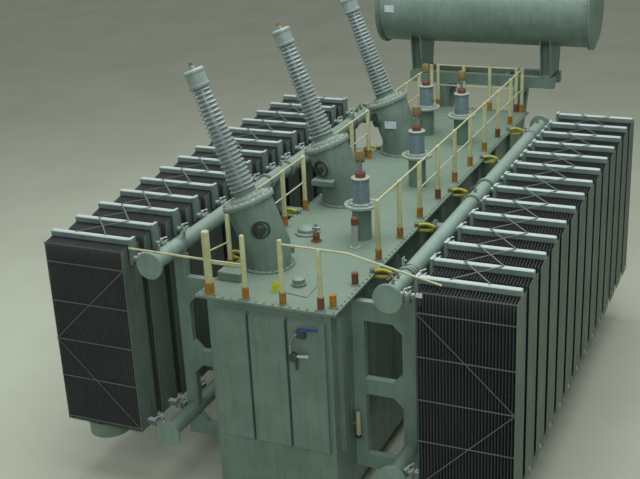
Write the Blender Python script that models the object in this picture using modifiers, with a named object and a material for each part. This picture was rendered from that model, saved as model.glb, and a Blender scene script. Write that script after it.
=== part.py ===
"""Oil-filled power transformer with radiator banks on both sides, built as separate solids.

Metres, +Z up. X runs across the tank and Y along it. Sizes are taken from the middle of the tank,
and base_point then moves the whole so that its origin is on the floor under the middle of its length.
"""
import math

import bmesh
import bpy
from mathutils import Matrix, Vector

PART_NAME = "power_transformer"

# Seats between neighbours, how far a cutting tool runs past what it cuts, and what merges
SEAT = 0.0003
OVERRUN = 0.02
MERGE_DISTANCE = SEAT / 10

# Faces that meet at less than FLAT_ANGLE are one face, and edges below SMOOTH_ANGLE are round
FLAT_ANGLE = math.radians(0.05)
SMOOTH_ANGLE = math.radians(40)

# Main heights and lengths, which the other sizes follow
HEADER_LEVEL = 4.25
LOWER_HEADER_LEVEL = 1.14
COVER_TOP = 3.632
TANK_LENGTH = 10.75
TANK_WIDTH = 2.0
TANK_FLOOR = 0.30
BANK_CENTRE_Y = -1.05

# Tank walls, cover, stiffeners and skids
WALL = 0.05
COVER_THICKNESS = 0.04
COVER_OVERHANG = 0.13
COVER_END_OVERHANG = 0.12
END_STIFFENER_WIDTH = 0.58
END_STIFFENER_GAP = 0.05
END_STIFFENER_DEPTH = 0.07
STIFFENER_BOTTOM = 1.22
STIFFENER_HEAD_GAP = 0.122
STIFFENER_TOP = COVER_TOP - COVER_THICKNESS - STIFFENER_HEAD_GAP
STIFFENER_SLOPE = 0.08
SIDE_RIB_WIDTH = 0.12
SIDE_RIB_DEPTH = 0.08
SIDE_RIB_PITCH = 1.165
SIDE_RIB_COUNT = 9
SKID_WIDTH = 0.30
SKID_INSET = 0.28
SKID_X = TANK_WIDTH / 2 - SKID_INSET
SKID_NOSE = 0.18
SKID_NOSE_RISE_SHARE = 0.5

# Oil collectors between the tank and the banks
COLLECTOR_X = 1.90
COLLECTOR_RADIUS = 0.13
COLLECTOR_SIDES = 12
COLLECTOR_LENGTH = 8.83
COLLECTOR_FLANGE_RADIUS = 0.215
COLLECTOR_FLANGE_THICKNESS = 0.035
COLLECTOR_FLANGE_SIDES = 16
UPPER_COLLECTOR_DROP = 0.276
LOWER_COLLECTOR_DROP = 0.067
UPPER_COLLECTOR_LEVEL = HEADER_LEVEL - UPPER_COLLECTOR_DROP
LOWER_COLLECTOR_LEVEL = LOWER_HEADER_LEVEL - LOWER_COLLECTOR_DROP
BRANCH_RADIUS = 0.10
BRANCH_TURN = 0.18
BRANCH_DROP = 0.674

# Radiators
RADIATOR_PITCH = 0.65
RADIATOR_COUNT = 14
RADIATOR_STUB = 0.281
RADIATOR_LENGTH = 1.44
RADIATOR_INNER_X = COLLECTOR_X + COLLECTOR_RADIUS + RADIATOR_STUB
RADIATOR_OUTER_X = RADIATOR_INNER_X + RADIATOR_LENGTH
HEADER_RADIUS = 0.05
HEADER_SIDES = 4
PANEL_WIDTH = 0.52
PANEL_SHOULDER_DROP = 0.085
PANEL_TOE = 0.096
PANEL_APEX = 0.04
PANEL_NECK = 0.004
PANEL_THICKNESS = 0.10
PANELS_PER_RADIATOR = 3
PANEL_END_GAP = 0.03
VALVE_PLATE_THICKNESS = 0.05
VALVE_PLATE_WIDTH = 0.16
VALVE_PLATE_RISE = 0.07
VALVE_PLATE_DROP = 0.36
STUB_RADIUS = 0.055
STUB_SIDES = 6
BRACE_WIDTH = 0.03
BRACE_THICKNESS = 0.02
BRACE_INSET = 0.43
BRACE_LENGTH = 0.56

# Brackets that stand on the tank wall, midway between ribs, and carry the collectors
FRAME_THICKNESS = 0.12
FRAME_RIB_SPACES = 3
FRAME_REACH = 0.10
FRAME_OUTER_X = COLLECTOR_X + FRAME_REACH
FRAME_BOTTOM = 0.62
FRAME_ROOT = 0.19
FRAME_POST_WIDTH = 0.21
FRAME_HEAD_GAP = 0.132
FRAME_HEAD = 0.31
FRAME_MIDDLE_LEVEL = 2.05
FRAME_MIDDLE = 0.26
FRAME_FOOT = 0.24
WINDOW_CHAMFER = 0.15

# Cooling fans under the banks
FAN_RADIUS = 0.34
FAN_DEPTH = 0.25
FAN_INSET = 0.55
FAN_PITCH = 1.64
FAN_COUNT = 6
FAN_SIDES = 8
FAN_RAIL_WIDTH = 0.09
FAN_RAIL_DEPTH = 0.05
FAN_RAIL_SINK = 0.025

# High-voltage turrets and bushings
PHASE_COUNT = 3
PHASE_PITCH = 3.05
TURRET_X = -0.60
TURRET_RADIUS = 0.37
TURRET_PIPE_RESOLUTION = 3
TURRET_SIDES = 16
TURRET_KNEE = 0.318
TURRET_RUN = 0.75
TURRET_LEAN = math.radians(21.2)
TURRET_FLANGE_RADIUS = 0.42
TURRET_FLANGE_THICKNESS = 0.05
TURRET_FOOT_RADIUS = 0.43
TURRET_FOOT_THICKNESS = 0.03
HAND_HOLE_RADIUS = 0.15
HAND_HOLE_REACH = 0.42
HAND_HOLE_RISE = 0.38
HAND_HOLE_TURN = math.radians(35)
HAND_HOLE_SIDES = 12
BUSHING_SEGMENTS = 10
BUSHING_FLANGE_RADIUS = 0.27
BUSHING_FLANGE_THICKNESS = 0.05
BUSHING_NECK_RADIUS = 0.18
BUSHING_NECK_HEIGHT = 0.105
SHED_COUNT = 13
SHED_STACK_HEIGHT = 1.665
SHED_RADIUS_LOW = 0.215
SHED_RADIUS_HIGH = 0.155
SHED_OVERHANG = 0.045
SHED_DROP_SHARE = 0.35
CAP_RADIUS = 0.17
CAP_HEIGHT = 0.30
TERMINAL_RADIUS = 0.03
TERMINAL_HEIGHT = 0.12

# Low-voltage bushings and the neutral, each on a short pedestal
LV_X = 0.40
LV_FIRST_Y = -2.625
LV_PITCH = 2.74
LV_COUNT = 3
NEUTRAL_X = -0.50
NEUTRAL_Y = 3.30
PEDESTAL_RADIUS = 0.15
PEDESTAL_HEIGHT = 0.60
PEDESTAL_FLANGE_RADIUS = 0.27
PEDESTAL_FLANGE_THICKNESS = 0.04
PEDESTAL_SIDES = 12
LV_SEGMENTS = 12
LV_FOOT_RADIUS = 0.20
LV_FOOT_THICKNESS = 0.03
LV_BODY_RADIUS = 0.14
LV_BODY_HEIGHT = 0.42
LV_RIM_RADIUS = 0.155
LV_RIM_THICKNESS = 0.03
LV_CAP_RADIUS = 0.085
LV_CAP_HEIGHT = 0.09
LV_TERMINAL_RADIUS = 0.03
LV_TERMINAL_HEIGHT = 0.18

# Hand-hole box near the front of the cover
COVER_BOX_X = -0.87
COVER_BOX_FRONT_INSET = 0.60
COVER_BOX_WIDTH = 0.36
COVER_BOX_DEPTH = 0.20
COVER_BOX_HEIGHT = 0.14

# Conservator, its saddles and the frame that carries it
CONSERVATOR_OVERHANG = 0.55
CONSERVATOR_Y = TANK_LENGTH / 2 + CONSERVATOR_OVERHANG
CONSERVATOR_X = 0.05
CONSERVATOR_LEVEL = 5.79
CONSERVATOR_RADIUS = 0.75
CONSERVATOR_LENGTH = 4.94
CONSERVATOR_RIM_RISE = 0.05
CONSERVATOR_RIM_RADIUS = CONSERVATOR_RADIUS + CONSERVATOR_RIM_RISE
CONSERVATOR_RIM_WIDTH = 0.07
CONSERVATOR_DISH = 0.10
DISH_RADIUS_SHARE = 0.62
DISH_DROP_SHARE = 0.25
CONSERVATOR_SEGMENTS = 20
CONSERVATOR_SMOOTH_ANGLE = math.radians(30)
SADDLE_X = 1.47
SADDLE_THICKNESS = 0.24
SADDLE_FOOT_WIDTH = 0.76
SADDLE_TOP_WIDTH = 1.10
SADDLE_SINK = 0.30
BEAM_TOP = 4.40
BEAM_HEIGHT = 0.24
BEAM_WIDTH = 0.16
BEAM_LENGTH = 3.3
BEAM_SPREAD = 0.60
TIE_COUNT = 4
TIE_WIDTH = 0.106
TIE_INSET = 0.04
BRACKET_INSET = 0.15
BRACKET_X = TANK_WIDTH / 2 - BRACKET_INSET
BRACKET_THICKNESS = 0.16
BRACKET_FOOT_LENGTH = 1.07
BRACKET_ARM_DEPTH = 0.20

# Guard rail on the cover, whose front row has lost rails
POST_RADIUS = 0.038
CORNER_POST_RADIUS = 0.06
POST_HEIGHT = 1.0
LOW_POST_HEIGHT = 0.92
POST_SIDES = 6
POST_PITCH = 0.98
RAIL_SIZE = 0.03
LOWER_RAIL_HEIGHT = 0.52
UPPER_RAIL_HEIGHT = 0.975
LOOSE_RAIL_HEIGHT = LOW_POST_HEIGHT + RAIL_SIZE / 3
LOOSE_RAIL_OVERHANG = 0.25
LEFT_ROW_INSET = 0.08
RIGHT_ROW_INSET = 0.135
RIGHT_ROW_START = 1.95
END_ROW_INSET = 0.11
END_ROW_LEFT_INSET = 0.20
END_ROW_RIGHT_INSET = 0.265
END_ROW_PITCH = 0.60
RAIL_TO_TURRET = 0.20
RAIL_TO_ROW = 0.09
LEFT_ROW_LEAD = 0.95
RETURN_LENGTH = 0.90
RETURN_RAIL_START = 0.66
RETURN_RAIL_END = 0.47

PAINT = {
    "tank_paint": ((0.30, 0.36, 0.33), 0.45, 0.0),
    "radiator_paint": ((0.13, 0.18, 0.17), 0.5, 0.0),
    "porcelain": ((0.22, 0.28, 0.30), 0.25, 0.0),
    "rail_paint": ((0.52, 0.50, 0.34), 0.5, 0.0),
    "skid_paint": ((0.16, 0.19, 0.18), 0.6, 0.0),
}


def clear_scene():
    """Remove whatever the open file holds."""
    for item in list(bpy.data.objects):
        bpy.data.objects.remove(item, do_unlink=True)


def make_materials():
    """Make one Principled BSDF material for each finish."""
    made = {}
    for name, (colour, roughness, metallic) in PAINT.items():
        material = bpy.data.materials.new(name)
        material.use_nodes = True
        shader = material.node_tree.nodes["Principled BSDF"]
        shader.inputs["Base Color"].default_value = (*colour, 1.0)
        shader.inputs["Roughness"].default_value = roughness
        shader.inputs["Metallic"].default_value = metallic
        made[name] = material
    return made


def new_object(name, data, collection):
    """Link a new object that holds data to a collection."""
    item = bpy.data.objects.new(name, data)
    collection.objects.link(item)
    return item


def mesh_object(name, builder):
    """Make an object from a bmesh that builder fills."""
    form = bmesh.new()
    builder(form)
    mesh = bpy.data.meshes.new(name)
    form.to_mesh(mesh)
    form.free()
    return new_object(name, mesh, cutters)


def box(low, high):
    """Make a box between two corners."""
    centre = [(a + b) / 2 for a, b in zip(low, high)]
    sizes = [b - a for a, b in zip(low, high)]
    place = Matrix.Translation(centre) @ Matrix.Diagonal((*sizes, 1.0))
    return mesh_object("box", lambda form: bmesh.ops.create_cube(form, size=1.0, matrix=place))


def cylinder(start, end, radius, sides):
    """Make a prism of many sides from start to end, radius being to the middle of a side."""
    start = Vector(start)
    run = Vector(end) - start
    turn = run.to_track_quat("Z", "Y").to_matrix().to_4x4()
    roll = Matrix.Rotation(math.pi / sides, 4, "Z")
    place = Matrix.Translation(start + run / 2) @ turn @ roll
    corner = radius / math.cos(math.pi / sides)

    def fill(form):
        bmesh.ops.create_cone(form, cap_ends=True, segments=sides, radius1=corner, radius2=corner,
                              depth=run.length, matrix=place)
    return mesh_object("cylinder", fill)


def evaluated(item, name):
    """Turn an object with its modifiers into a plain mesh object and remove the original."""
    bpy.context.view_layer.update()
    graph = bpy.context.evaluated_depsgraph_get()
    mesh = bpy.data.meshes.new_from_object(item.evaluated_get(graph))
    form = bmesh.new()
    form.from_mesh(mesh)
    bmesh.ops.remove_doubles(form, verts=form.verts, dist=MERGE_DISTANCE)
    bmesh.ops.recalc_face_normals(form, faces=form.faces)
    bmesh.ops.dissolve_limit(form, angle_limit=FLAT_ANGLE, verts=form.verts, edges=form.edges)
    form.to_mesh(mesh)
    form.free()
    mesh.name = name
    solid = new_object(name, mesh, cutters)
    solid.matrix_world = item.matrix_world
    bpy.data.objects.remove(item, do_unlink=True)
    return solid


def combine(name, pieces, operation="UNION"):
    """Join pieces, or cut all later ones out of the first, into one plain mesh object."""
    base = pieces[0]
    for tool in pieces[1:]:
        modifier = base.modifiers.new("Join", "BOOLEAN")
        modifier.operation = operation
        modifier.solver = "EXACT"
        modifier.object = tool
        tool.hide_render = True
        tool.display_type = "WIRE"
    solid = evaluated(base, name)
    for tool in pieces[1:]:
        bpy.data.objects.remove(tool, do_unlink=True)
    return solid


def plate(outline, holes, thickness, plane):
    """Extrude a closed outline with holes; plane "YZ" or "XZ" says where its two numbers lie."""
    curve = bpy.data.curves.new("plate", "CURVE")
    curve.dimensions = "2D"
    curve.fill_mode = "BOTH"
    curve.extrude = thickness / 2
    for loop in (outline, *holes):
        spline = curve.splines.new("POLY")
        spline.points.add(len(loop) - 1)
        for point, (across, up) in zip(spline.points, loop):
            point.co = (across, up, 0.0, 1.0)
        spline.use_cyclic_u = True
    item = new_object("plate", curve, cutters)
    stand = Matrix.Rotation(math.pi / 2, 4, "X")
    if plane == "YZ":
        stand = Matrix.Rotation(math.pi / 2, 4, "Z") @ stand
    item.matrix_world = stand
    return evaluated(item, "plate")


def tube(points, radius, resolution=1):
    """Make a mitred pipe through points."""
    curve = bpy.data.curves.new("tube", "CURVE")
    curve.dimensions = "3D"
    curve.bevel_depth = radius
    curve.bevel_resolution = resolution
    curve.use_fill_caps = True
    spline = curve.splines.new("POLY")
    spline.points.add(len(points) - 1)
    for point, place in zip(spline.points, points):
        point.co = (*place, 1.0)
    return evaluated(new_object("tube", curve, cutters), "tube")


def turned(name, profile, segments):
    """Turn a profile of (radius, height) pairs, top to bottom, about Z."""
    def fill(form):
        corners = [form.verts.new((radius, 0.0, height)) for radius, height in profile]
        for upper, lower in zip(corners, corners[1:]):
            form.edges.new((upper, lower))
    item = mesh_object(name, fill)
    screw = item.modifiers.new("Turn", "SCREW")
    screw.steps = segments
    screw.render_steps = segments
    screw.use_merge_vertices = True
    screw.merge_threshold = MERGE_DISTANCE
    screw.use_normal_calculate = True
    return evaluated(item, name)


def smooth_round(item, limit=SMOOTH_ANGLE):
    """Shade the gentle edges of a round piece smooth."""
    for face in item.data.polygons:
        face.use_smooth = True
    form = bmesh.new()
    form.from_mesh(item.data)
    for edge in form.edges:
        edge.smooth = len(edge.link_faces) == 2 and edge.calc_face_angle(0.0) < limit
    form.to_mesh(item.data)
    form.free()


def finish(item, name, material, location=(0.0, 0.0, 0.0), rotation=(0.0, 0.0, 0.0)):
    """Name a finished solid, paint it, put it in the part's collection and place it."""
    item.data.transform(item.matrix_world)
    item.name = name
    item.data.name = name
    item.data.materials.clear()
    item.data.materials.append(materials[material])
    cutters.objects.unlink(item)
    parts.objects.link(item)
    item.parent = base_point
    item.location = location
    item.rotation_euler = rotation
    return item


def copy_of(item, name, location, rotation=(0.0, 0.0, 0.0)):
    """Place another object that shares item's mesh."""
    twin = new_object(name, item.data, parts)
    twin.parent = base_point
    twin.location = location
    twin.rotation_euler = rotation
    return twin


def end_stiffener(x_centre, end):
    """Make one broad stiffener with sloped ends for an end wall; end is -1 or +1."""
    wall = TANK_LENGTH / 2 - WALL / 2
    face = TANK_LENGTH / 2 + END_STIFFENER_DEPTH
    outline = (
        (end * wall, STIFFENER_BOTTOM),
        (end * face, STIFFENER_BOTTOM + STIFFENER_SLOPE),
        (end * face, STIFFENER_TOP - STIFFENER_SLOPE),
        (end * wall, STIFFENER_TOP),
    )
    item = plate(outline, (), END_STIFFENER_WIDTH, "YZ")
    item.location.x += x_centre
    return item


def side_rib(side, y_centre):
    """Make one vertical box rib on a side wall."""
    inner = TANK_WIDTH / 2 - WALL / 2
    outer = TANK_WIDTH / 2 + SIDE_RIB_DEPTH
    return box((min(side * inner, side * outer), y_centre - SIDE_RIB_WIDTH / 2, STIFFENER_BOTTOM),
               (max(side * inner, side * outer), y_centre + SIDE_RIB_WIDTH / 2, STIFFENER_TOP))


def build_tank():
    """Build the open-topped tank shell with its stiffeners."""
    half_width = TANK_WIDTH / 2
    half_length = TANK_LENGTH / 2
    rim = COVER_TOP - COVER_THICKNESS - SEAT
    shell = box((-half_width, -half_length, TANK_FLOOR), (half_width, half_length, rim))
    hollow = box((-half_width + WALL, -half_length + WALL, TANK_FLOOR + WALL),
                 (half_width - WALL, half_length - WALL, rim + OVERRUN))
    pieces = [combine("shell", [shell, hollow], "DIFFERENCE")]
    step = END_STIFFENER_WIDTH + END_STIFFENER_GAP
    for end in (-1, 1):
        pieces += [end_stiffener(step * place, end) for place in (-1, 0, 1)]
    first = BANK_CENTRE_Y - SIDE_RIB_PITCH * (SIDE_RIB_COUNT - 2) / 2
    for side in (-1, 1):
        pieces += [side_rib(side, first + index * SIDE_RIB_PITCH) for index in range(SIDE_RIB_COUNT)]
    finish(combine("tank", pieces), "tank", "tank_paint")


def pedestal(x, y):
    """Make a low-voltage pedestal with its flange, rooted in the cover plate."""
    top = COVER_TOP + PEDESTAL_HEIGHT
    neck = cylinder((x, y, COVER_TOP - COVER_THICKNESS / 2), (x, y, top - PEDESTAL_FLANGE_THICKNESS / 2),
                    PEDESTAL_RADIUS, PEDESTAL_SIDES)
    ring = cylinder((x, y, top - PEDESTAL_FLANGE_THICKNESS), (x, y, top), PEDESTAL_FLANGE_RADIUS,
                    PEDESTAL_SIDES)
    return [neck, ring]


def lv_places():
    """List where the low-voltage bushings and the neutral stand."""
    row = [(LV_X, LV_FIRST_Y + LV_PITCH * index) for index in range(LV_COUNT)]
    return row + [(NEUTRAL_X, NEUTRAL_Y)]


def build_cover():
    """Build the bolted cover plate with the pedestals and the hand-hole box."""
    half_width = TANK_WIDTH / 2 + COVER_OVERHANG
    half_length = TANK_LENGTH / 2 + COVER_END_OVERHANG
    pieces = [box((-half_width, -half_length, COVER_TOP - COVER_THICKNESS),
                  (half_width, half_length, COVER_TOP))]
    for x, y in lv_places():
        pieces += pedestal(x, y)
    front = -half_length + COVER_BOX_FRONT_INSET
    pieces.append(box((COVER_BOX_X - COVER_BOX_WIDTH / 2, front, COVER_TOP - COVER_THICKNESS / 2),
                      (COVER_BOX_X + COVER_BOX_WIDTH / 2, front + COVER_BOX_DEPTH,
                       COVER_TOP + COVER_BOX_HEIGHT)))
    finish(combine("cover", pieces), "tank_cover", "tank_paint")


def build_skids():
    """Build the two skids that the tank stands on, their noses cut back."""
    reach = TANK_LENGTH / 2
    top = TANK_FLOOR - SEAT
    rise = SKID_NOSE * SKID_NOSE_RISE_SHARE
    outline = ((-reach, rise), (-reach + SKID_NOSE, 0.0), (reach - SKID_NOSE, 0.0), (reach, rise),
               (reach, top), (-reach, top))
    for name, side in (("skid_left", -1), ("skid_right", 1)):
        finish(plate(outline, (), SKID_WIDTH, "YZ"), name, "skid_paint",
               (side * SKID_X, 0.0, 0.0))


def panel(x_centre):
    """Make one radiator panel whose shoulders rise to a short neck under the header."""
    half = PANEL_WIDTH / 2
    neck = PANEL_APEX / 2
    underside = HEADER_LEVEL - HEADER_RADIUS
    shoulder = HEADER_LEVEL - PANEL_SHOULDER_DROP
    toe = LOWER_HEADER_LEVEL - PANEL_TOE
    outline = (
        (-half, toe),
        (half, toe),
        (half, shoulder),
        (neck, underside - PANEL_NECK),
        (neck, underside + PANEL_NECK),
        (-neck, underside + PANEL_NECK),
        (-neck, underside - PANEL_NECK),
        (-half, shoulder),
    )
    item = plate(outline, (), PANEL_THICKNESS, "YZ")
    item.location.x += x_centre
    return item


def panel_places():
    """List where across a right-hand radiator its panels hang, from the outside in."""
    first = RADIATOR_OUTER_X - PANEL_END_GAP - PANEL_THICKNESS / 2
    last = RADIATOR_INNER_X + PANEL_END_GAP + PANEL_THICKNESS / 2
    step = (last - first) / (PANELS_PER_RADIATOR - 1)
    return [first + step * index for index in range(PANELS_PER_RADIATOR)]


def radiator():
    """List the solids of one radiator on the right bank, its headers on the line y = 0."""
    bank_side = COLLECTOR_X + COLLECTOR_RADIUS + SEAT
    inner = RADIATOR_INNER_X
    outer = RADIATOR_OUTER_X
    plate_top = HEADER_LEVEL + VALVE_PLATE_RISE
    pieces = [
        cylinder((inner - VALVE_PLATE_THICKNESS / 2, 0, HEADER_LEVEL), (outer, 0, HEADER_LEVEL),
                 HEADER_RADIUS, HEADER_SIDES),
        cylinder((bank_side, 0, LOWER_HEADER_LEVEL), (outer, 0, LOWER_HEADER_LEVEL),
                 HEADER_RADIUS, HEADER_SIDES),
        box((inner - VALVE_PLATE_THICKNESS, -VALVE_PLATE_WIDTH / 2, HEADER_LEVEL - VALVE_PLATE_DROP),
            (inner, VALVE_PLATE_WIDTH / 2, plate_top)),
        cylinder((bank_side, 0, UPPER_COLLECTOR_LEVEL), (inner - VALVE_PLATE_THICKNESS / 2, 0,
                 UPPER_COLLECTOR_LEVEL), STUB_RADIUS, STUB_SIDES),
    ]
    return pieces + [panel(x) for x in panel_places()]


def shifted(pieces, y_shift):
    """Move pieces along the bank."""
    for item in pieces:
        item.location.y += y_shift
    return pieces


def brace(start, end):
    """Make one flat brace between two points on top of the headers."""
    start = Vector(start)
    run = Vector(end) - start
    place = (Matrix.Translation(start + run / 2) @ Matrix.Rotation(math.atan2(run.y, run.x), 4, "Z")
             @ Matrix.Diagonal((run.length, BRACE_WIDTH, BRACE_THICKNESS, 1.0)))
    return mesh_object("brace", lambda form: bmesh.ops.create_cube(form, size=1.0, matrix=place))


def build_radiators():
    """Build one pair of braced radiators and place seven pairs on each side."""
    level = HEADER_LEVEL + HEADER_RADIUS
    half = RADIATOR_PITCH / 2
    ends = (RADIATOR_INNER_X + BRACE_INSET, RADIATOR_INNER_X + BRACE_INSET + BRACE_LENGTH)
    pieces = shifted(radiator(), -half) + shifted(radiator(), half)
    pieces.append(brace((ends[0], -half, level), (ends[1], half, level)))
    pieces.append(brace((ends[1], -half, level), (ends[0], half, level)))
    pair = combine("pair", pieces)
    first = BANK_CENTRE_Y - RADIATOR_PITCH * (RADIATOR_COUNT - 2) / 2
    for index in range(RADIATOR_COUNT // 2):
        y = first + 2 * RADIATOR_PITCH * index
        right_name = "radiator_pair_right_{}".format(index + 1)
        if index == 0:
            finish(pair, right_name, "radiator_paint", (0.0, y, 0.0))
        else:
            copy_of(pair, right_name, (0.0, y, 0.0))
        copy_of(pair, "radiator_pair_left_{}".format(index + 1), (0.0, y, 0.0), (0.0, 0.0, math.pi))


def collector(level, branch):
    """Build a right-hand collector with blank end flanges and its branch to the tank."""
    half = COLLECTOR_LENGTH / 2
    pieces = [cylinder((COLLECTOR_X, -half, level), (COLLECTOR_X, half, level), COLLECTOR_RADIUS,
                       COLLECTOR_SIDES)]
    for end in (-1, 1):
        face = end * half
        pieces.append(cylinder((COLLECTOR_X, face + end * SEAT, level),
                               (COLLECTOR_X, face - end * COLLECTOR_FLANGE_THICKNESS, level),
                               COLLECTOR_FLANGE_RADIUS, COLLECTOR_FLANGE_SIDES))
    pieces.append(tube(branch, BRANCH_RADIUS))
    return combine("collector", pieces)


def build_collectors():
    """Build the upper and lower collectors and place both on each side."""
    wall = TANK_WIDTH / 2 + SEAT
    branch_level = UPPER_COLLECTOR_LEVEL - BRANCH_DROP
    upper_branch = (
        (COLLECTOR_X, 0.0, UPPER_COLLECTOR_LEVEL),
        (COLLECTOR_X, 0.0, branch_level + BRANCH_TURN),
        (COLLECTOR_X - BRANCH_TURN, 0.0, branch_level),
        (wall, 0.0, branch_level),
    )
    lower_branch = ((COLLECTOR_X, 0.0, LOWER_COLLECTOR_LEVEL), (wall, 0.0, LOWER_COLLECTOR_LEVEL))
    place = (0.0, BANK_CENTRE_Y, 0.0)
    for name, level, branch in (("upper", UPPER_COLLECTOR_LEVEL, upper_branch),
                                ("lower", LOWER_COLLECTOR_LEVEL, lower_branch)):
        right = finish(collector(level, branch), name + "_collector_right", "tank_paint", place)
        smooth_round(right)
        copy_of(right, name + "_collector_left", place, (0.0, 0.0, math.pi))


def window(low, high):
    """Outline one window of a bracket, chamfered on its outer side."""
    inner = TANK_WIDTH / 2 + FRAME_ROOT
    outer = FRAME_OUTER_X - FRAME_POST_WIDTH
    return (
        (inner, low),
        (outer - WINDOW_CHAMFER, low),
        (outer, low + WINDOW_CHAMFER),
        (outer, high - WINDOW_CHAMFER),
        (outer - WINDOW_CHAMFER, high),
        (inner, high),
    )


def build_frames():
    """Build the bracket that carries the collectors and place two on each side."""
    wall = TANK_WIDTH / 2 + SEAT
    seat_level = UPPER_COLLECTOR_LEVEL - COLLECTOR_RADIUS - SEAT
    post_x = FRAME_OUTER_X - FRAME_POST_WIDTH
    shoulder = COVER_TOP - COVER_THICKNESS - FRAME_HEAD_GAP
    outline = (
        (wall, FRAME_BOTTOM),
        (FRAME_OUTER_X, FRAME_BOTTOM),
        (FRAME_OUTER_X, seat_level),
        (post_x, seat_level),
        (post_x, shoulder),
        (wall, shoulder),
    )
    windows = (
        window(FRAME_BOTTOM + FRAME_FOOT, FRAME_MIDDLE_LEVEL - FRAME_MIDDLE / 2),
        window(FRAME_MIDDLE_LEVEL + FRAME_MIDDLE / 2, shoulder - FRAME_HEAD),
    )
    body = plate(outline, windows, FRAME_THICKNESS, "XZ")
    bore = cylinder((COLLECTOR_X, -FRAME_THICKNESS, LOWER_COLLECTOR_LEVEL),
                    (COLLECTOR_X, FRAME_THICKNESS, LOWER_COLLECTOR_LEVEL),
                    COLLECTOR_RADIUS + SEAT, COLLECTOR_SIDES)
    frame = combine("frame", [body, bore], "DIFFERENCE")
    for name, end in (("front", -1), ("rear", 1)):
        y = BANK_CENTRE_Y + end * SIDE_RIB_PITCH * FRAME_RIB_SPACES
        right_name = "collector_bracket_right_" + name
        if name == "front":
            finish(frame, right_name, "tank_paint", (0.0, y, 0.0))
        else:
            copy_of(frame, right_name, (0.0, y, 0.0))
        copy_of(frame, "collector_bracket_left_" + name, (0.0, y, 0.0), (0.0, 0.0, math.pi))


def build_fans():
    """Build a row of fan drums on a rail under the middle panels and hang one row under each bank."""
    x = RADIATOR_OUTER_X - FAN_INSET
    rail_x = panel_places()[PANELS_PER_RADIATOR // 2]
    top = LOWER_HEADER_LEVEL - PANEL_TOE - SEAT
    drum_top = top - FAN_RAIL_SINK
    reach = FAN_PITCH * (FAN_COUNT - 1) / 2
    pieces = [box((rail_x - FAN_RAIL_WIDTH / 2, -reach, top - FAN_RAIL_DEPTH),
                  (rail_x + FAN_RAIL_WIDTH / 2, reach, top))]
    for index in range(FAN_COUNT):
        y = FAN_PITCH * index - reach
        pieces.append(cylinder((x, y, drum_top - FAN_DEPTH), (x, y, drum_top), FAN_RADIUS, FAN_SIDES))
    right = finish(combine("fans", pieces), "fan_row_right", "tank_paint", (0.0, BANK_CENTRE_Y, 0.0))
    copy_of(right, "fan_row_left", (0.0, BANK_CENTRE_Y, 0.0), (0.0, 0.0, math.pi))


def phase_places():
    """List where along the tank the high-voltage phases stand."""
    return [BANK_CENTRE_Y + PHASE_PITCH * (index - (PHASE_COUNT - 1) / 2) for index in range(PHASE_COUNT)]


def lean_point(distance):
    """Give the point on a leaning turret's axis at a distance above its knee."""
    return Vector((-math.sin(TURRET_LEAN), 0.0, math.cos(TURRET_LEAN))) * distance + Vector(
        (0.0, 0.0, TURRET_KNEE))


def turret():
    """Build one turret: a foot ring, a mitred pipe that leans out, and a top flange."""
    top = TURRET_RUN + TURRET_FLANGE_THICKNESS
    pipe = tube(((0.0, 0.0, SEAT + TURRET_FOOT_THICKNESS / 2), (0.0, 0.0, TURRET_KNEE),
                 lean_point(TURRET_RUN + TURRET_FLANGE_THICKNESS / 2)), TURRET_RADIUS,
                TURRET_PIPE_RESOLUTION)
    foot = cylinder((0.0, 0.0, SEAT), (0.0, 0.0, TURRET_FOOT_THICKNESS), TURRET_FOOT_RADIUS, TURRET_SIDES)
    flange = cylinder(lean_point(TURRET_RUN), lean_point(top), TURRET_FLANGE_RADIUS, TURRET_SIDES)
    root = lean_point(HAND_HOLE_RISE / math.cos(TURRET_LEAN))
    reach = Vector((math.sin(HAND_HOLE_TURN), -math.cos(HAND_HOLE_TURN), 0.0)) * HAND_HOLE_REACH
    hand_hole = cylinder(root, root + reach, HAND_HOLE_RADIUS, HAND_HOLE_SIDES)
    return combine("turret", [pipe, foot, flange, hand_hole])


def shed_profile(count, start, end, radius_low, radius_high, overhang):
    """List the points of a stack of sheds, top to bottom, on a core that tapers upwards."""
    pitch = (end - start) / count
    points = []
    for index in range(count):
        level = end - pitch * index
        share = (level - start) / (end - start)
        radius = radius_low + (radius_high - radius_low) * share
        points.append((radius - overhang, level))
        points.append((radius, level - pitch * (1 - SHED_DROP_SHARE)))
    points.append((radius_low - overhang, start))
    return points


def bushing():
    """Build one high-voltage bushing that stands on its own foot, its axis on Z."""
    neck_top = BUSHING_FLANGE_THICKNESS + BUSHING_NECK_HEIGHT
    sheds_top = neck_top + SHED_STACK_HEIGHT
    cap_top = sheds_top + CAP_HEIGHT
    pin_top = cap_top + TERMINAL_HEIGHT
    profile = [(0.0, pin_top), (TERMINAL_RADIUS, pin_top), (TERMINAL_RADIUS, cap_top),
               (CAP_RADIUS, cap_top), (CAP_RADIUS, sheds_top)]
    profile += shed_profile(SHED_COUNT, neck_top, sheds_top, SHED_RADIUS_LOW, SHED_RADIUS_HIGH,
                            SHED_OVERHANG)
    profile += [(BUSHING_NECK_RADIUS, neck_top), (BUSHING_NECK_RADIUS, BUSHING_FLANGE_THICKNESS),
                (BUSHING_FLANGE_RADIUS, BUSHING_FLANGE_THICKNESS), (BUSHING_FLANGE_RADIUS, 0.0),
                (0.0, 0.0)]
    item = turned("bushing", profile, BUSHING_SEGMENTS)
    smooth_round(item)
    return item


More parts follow.
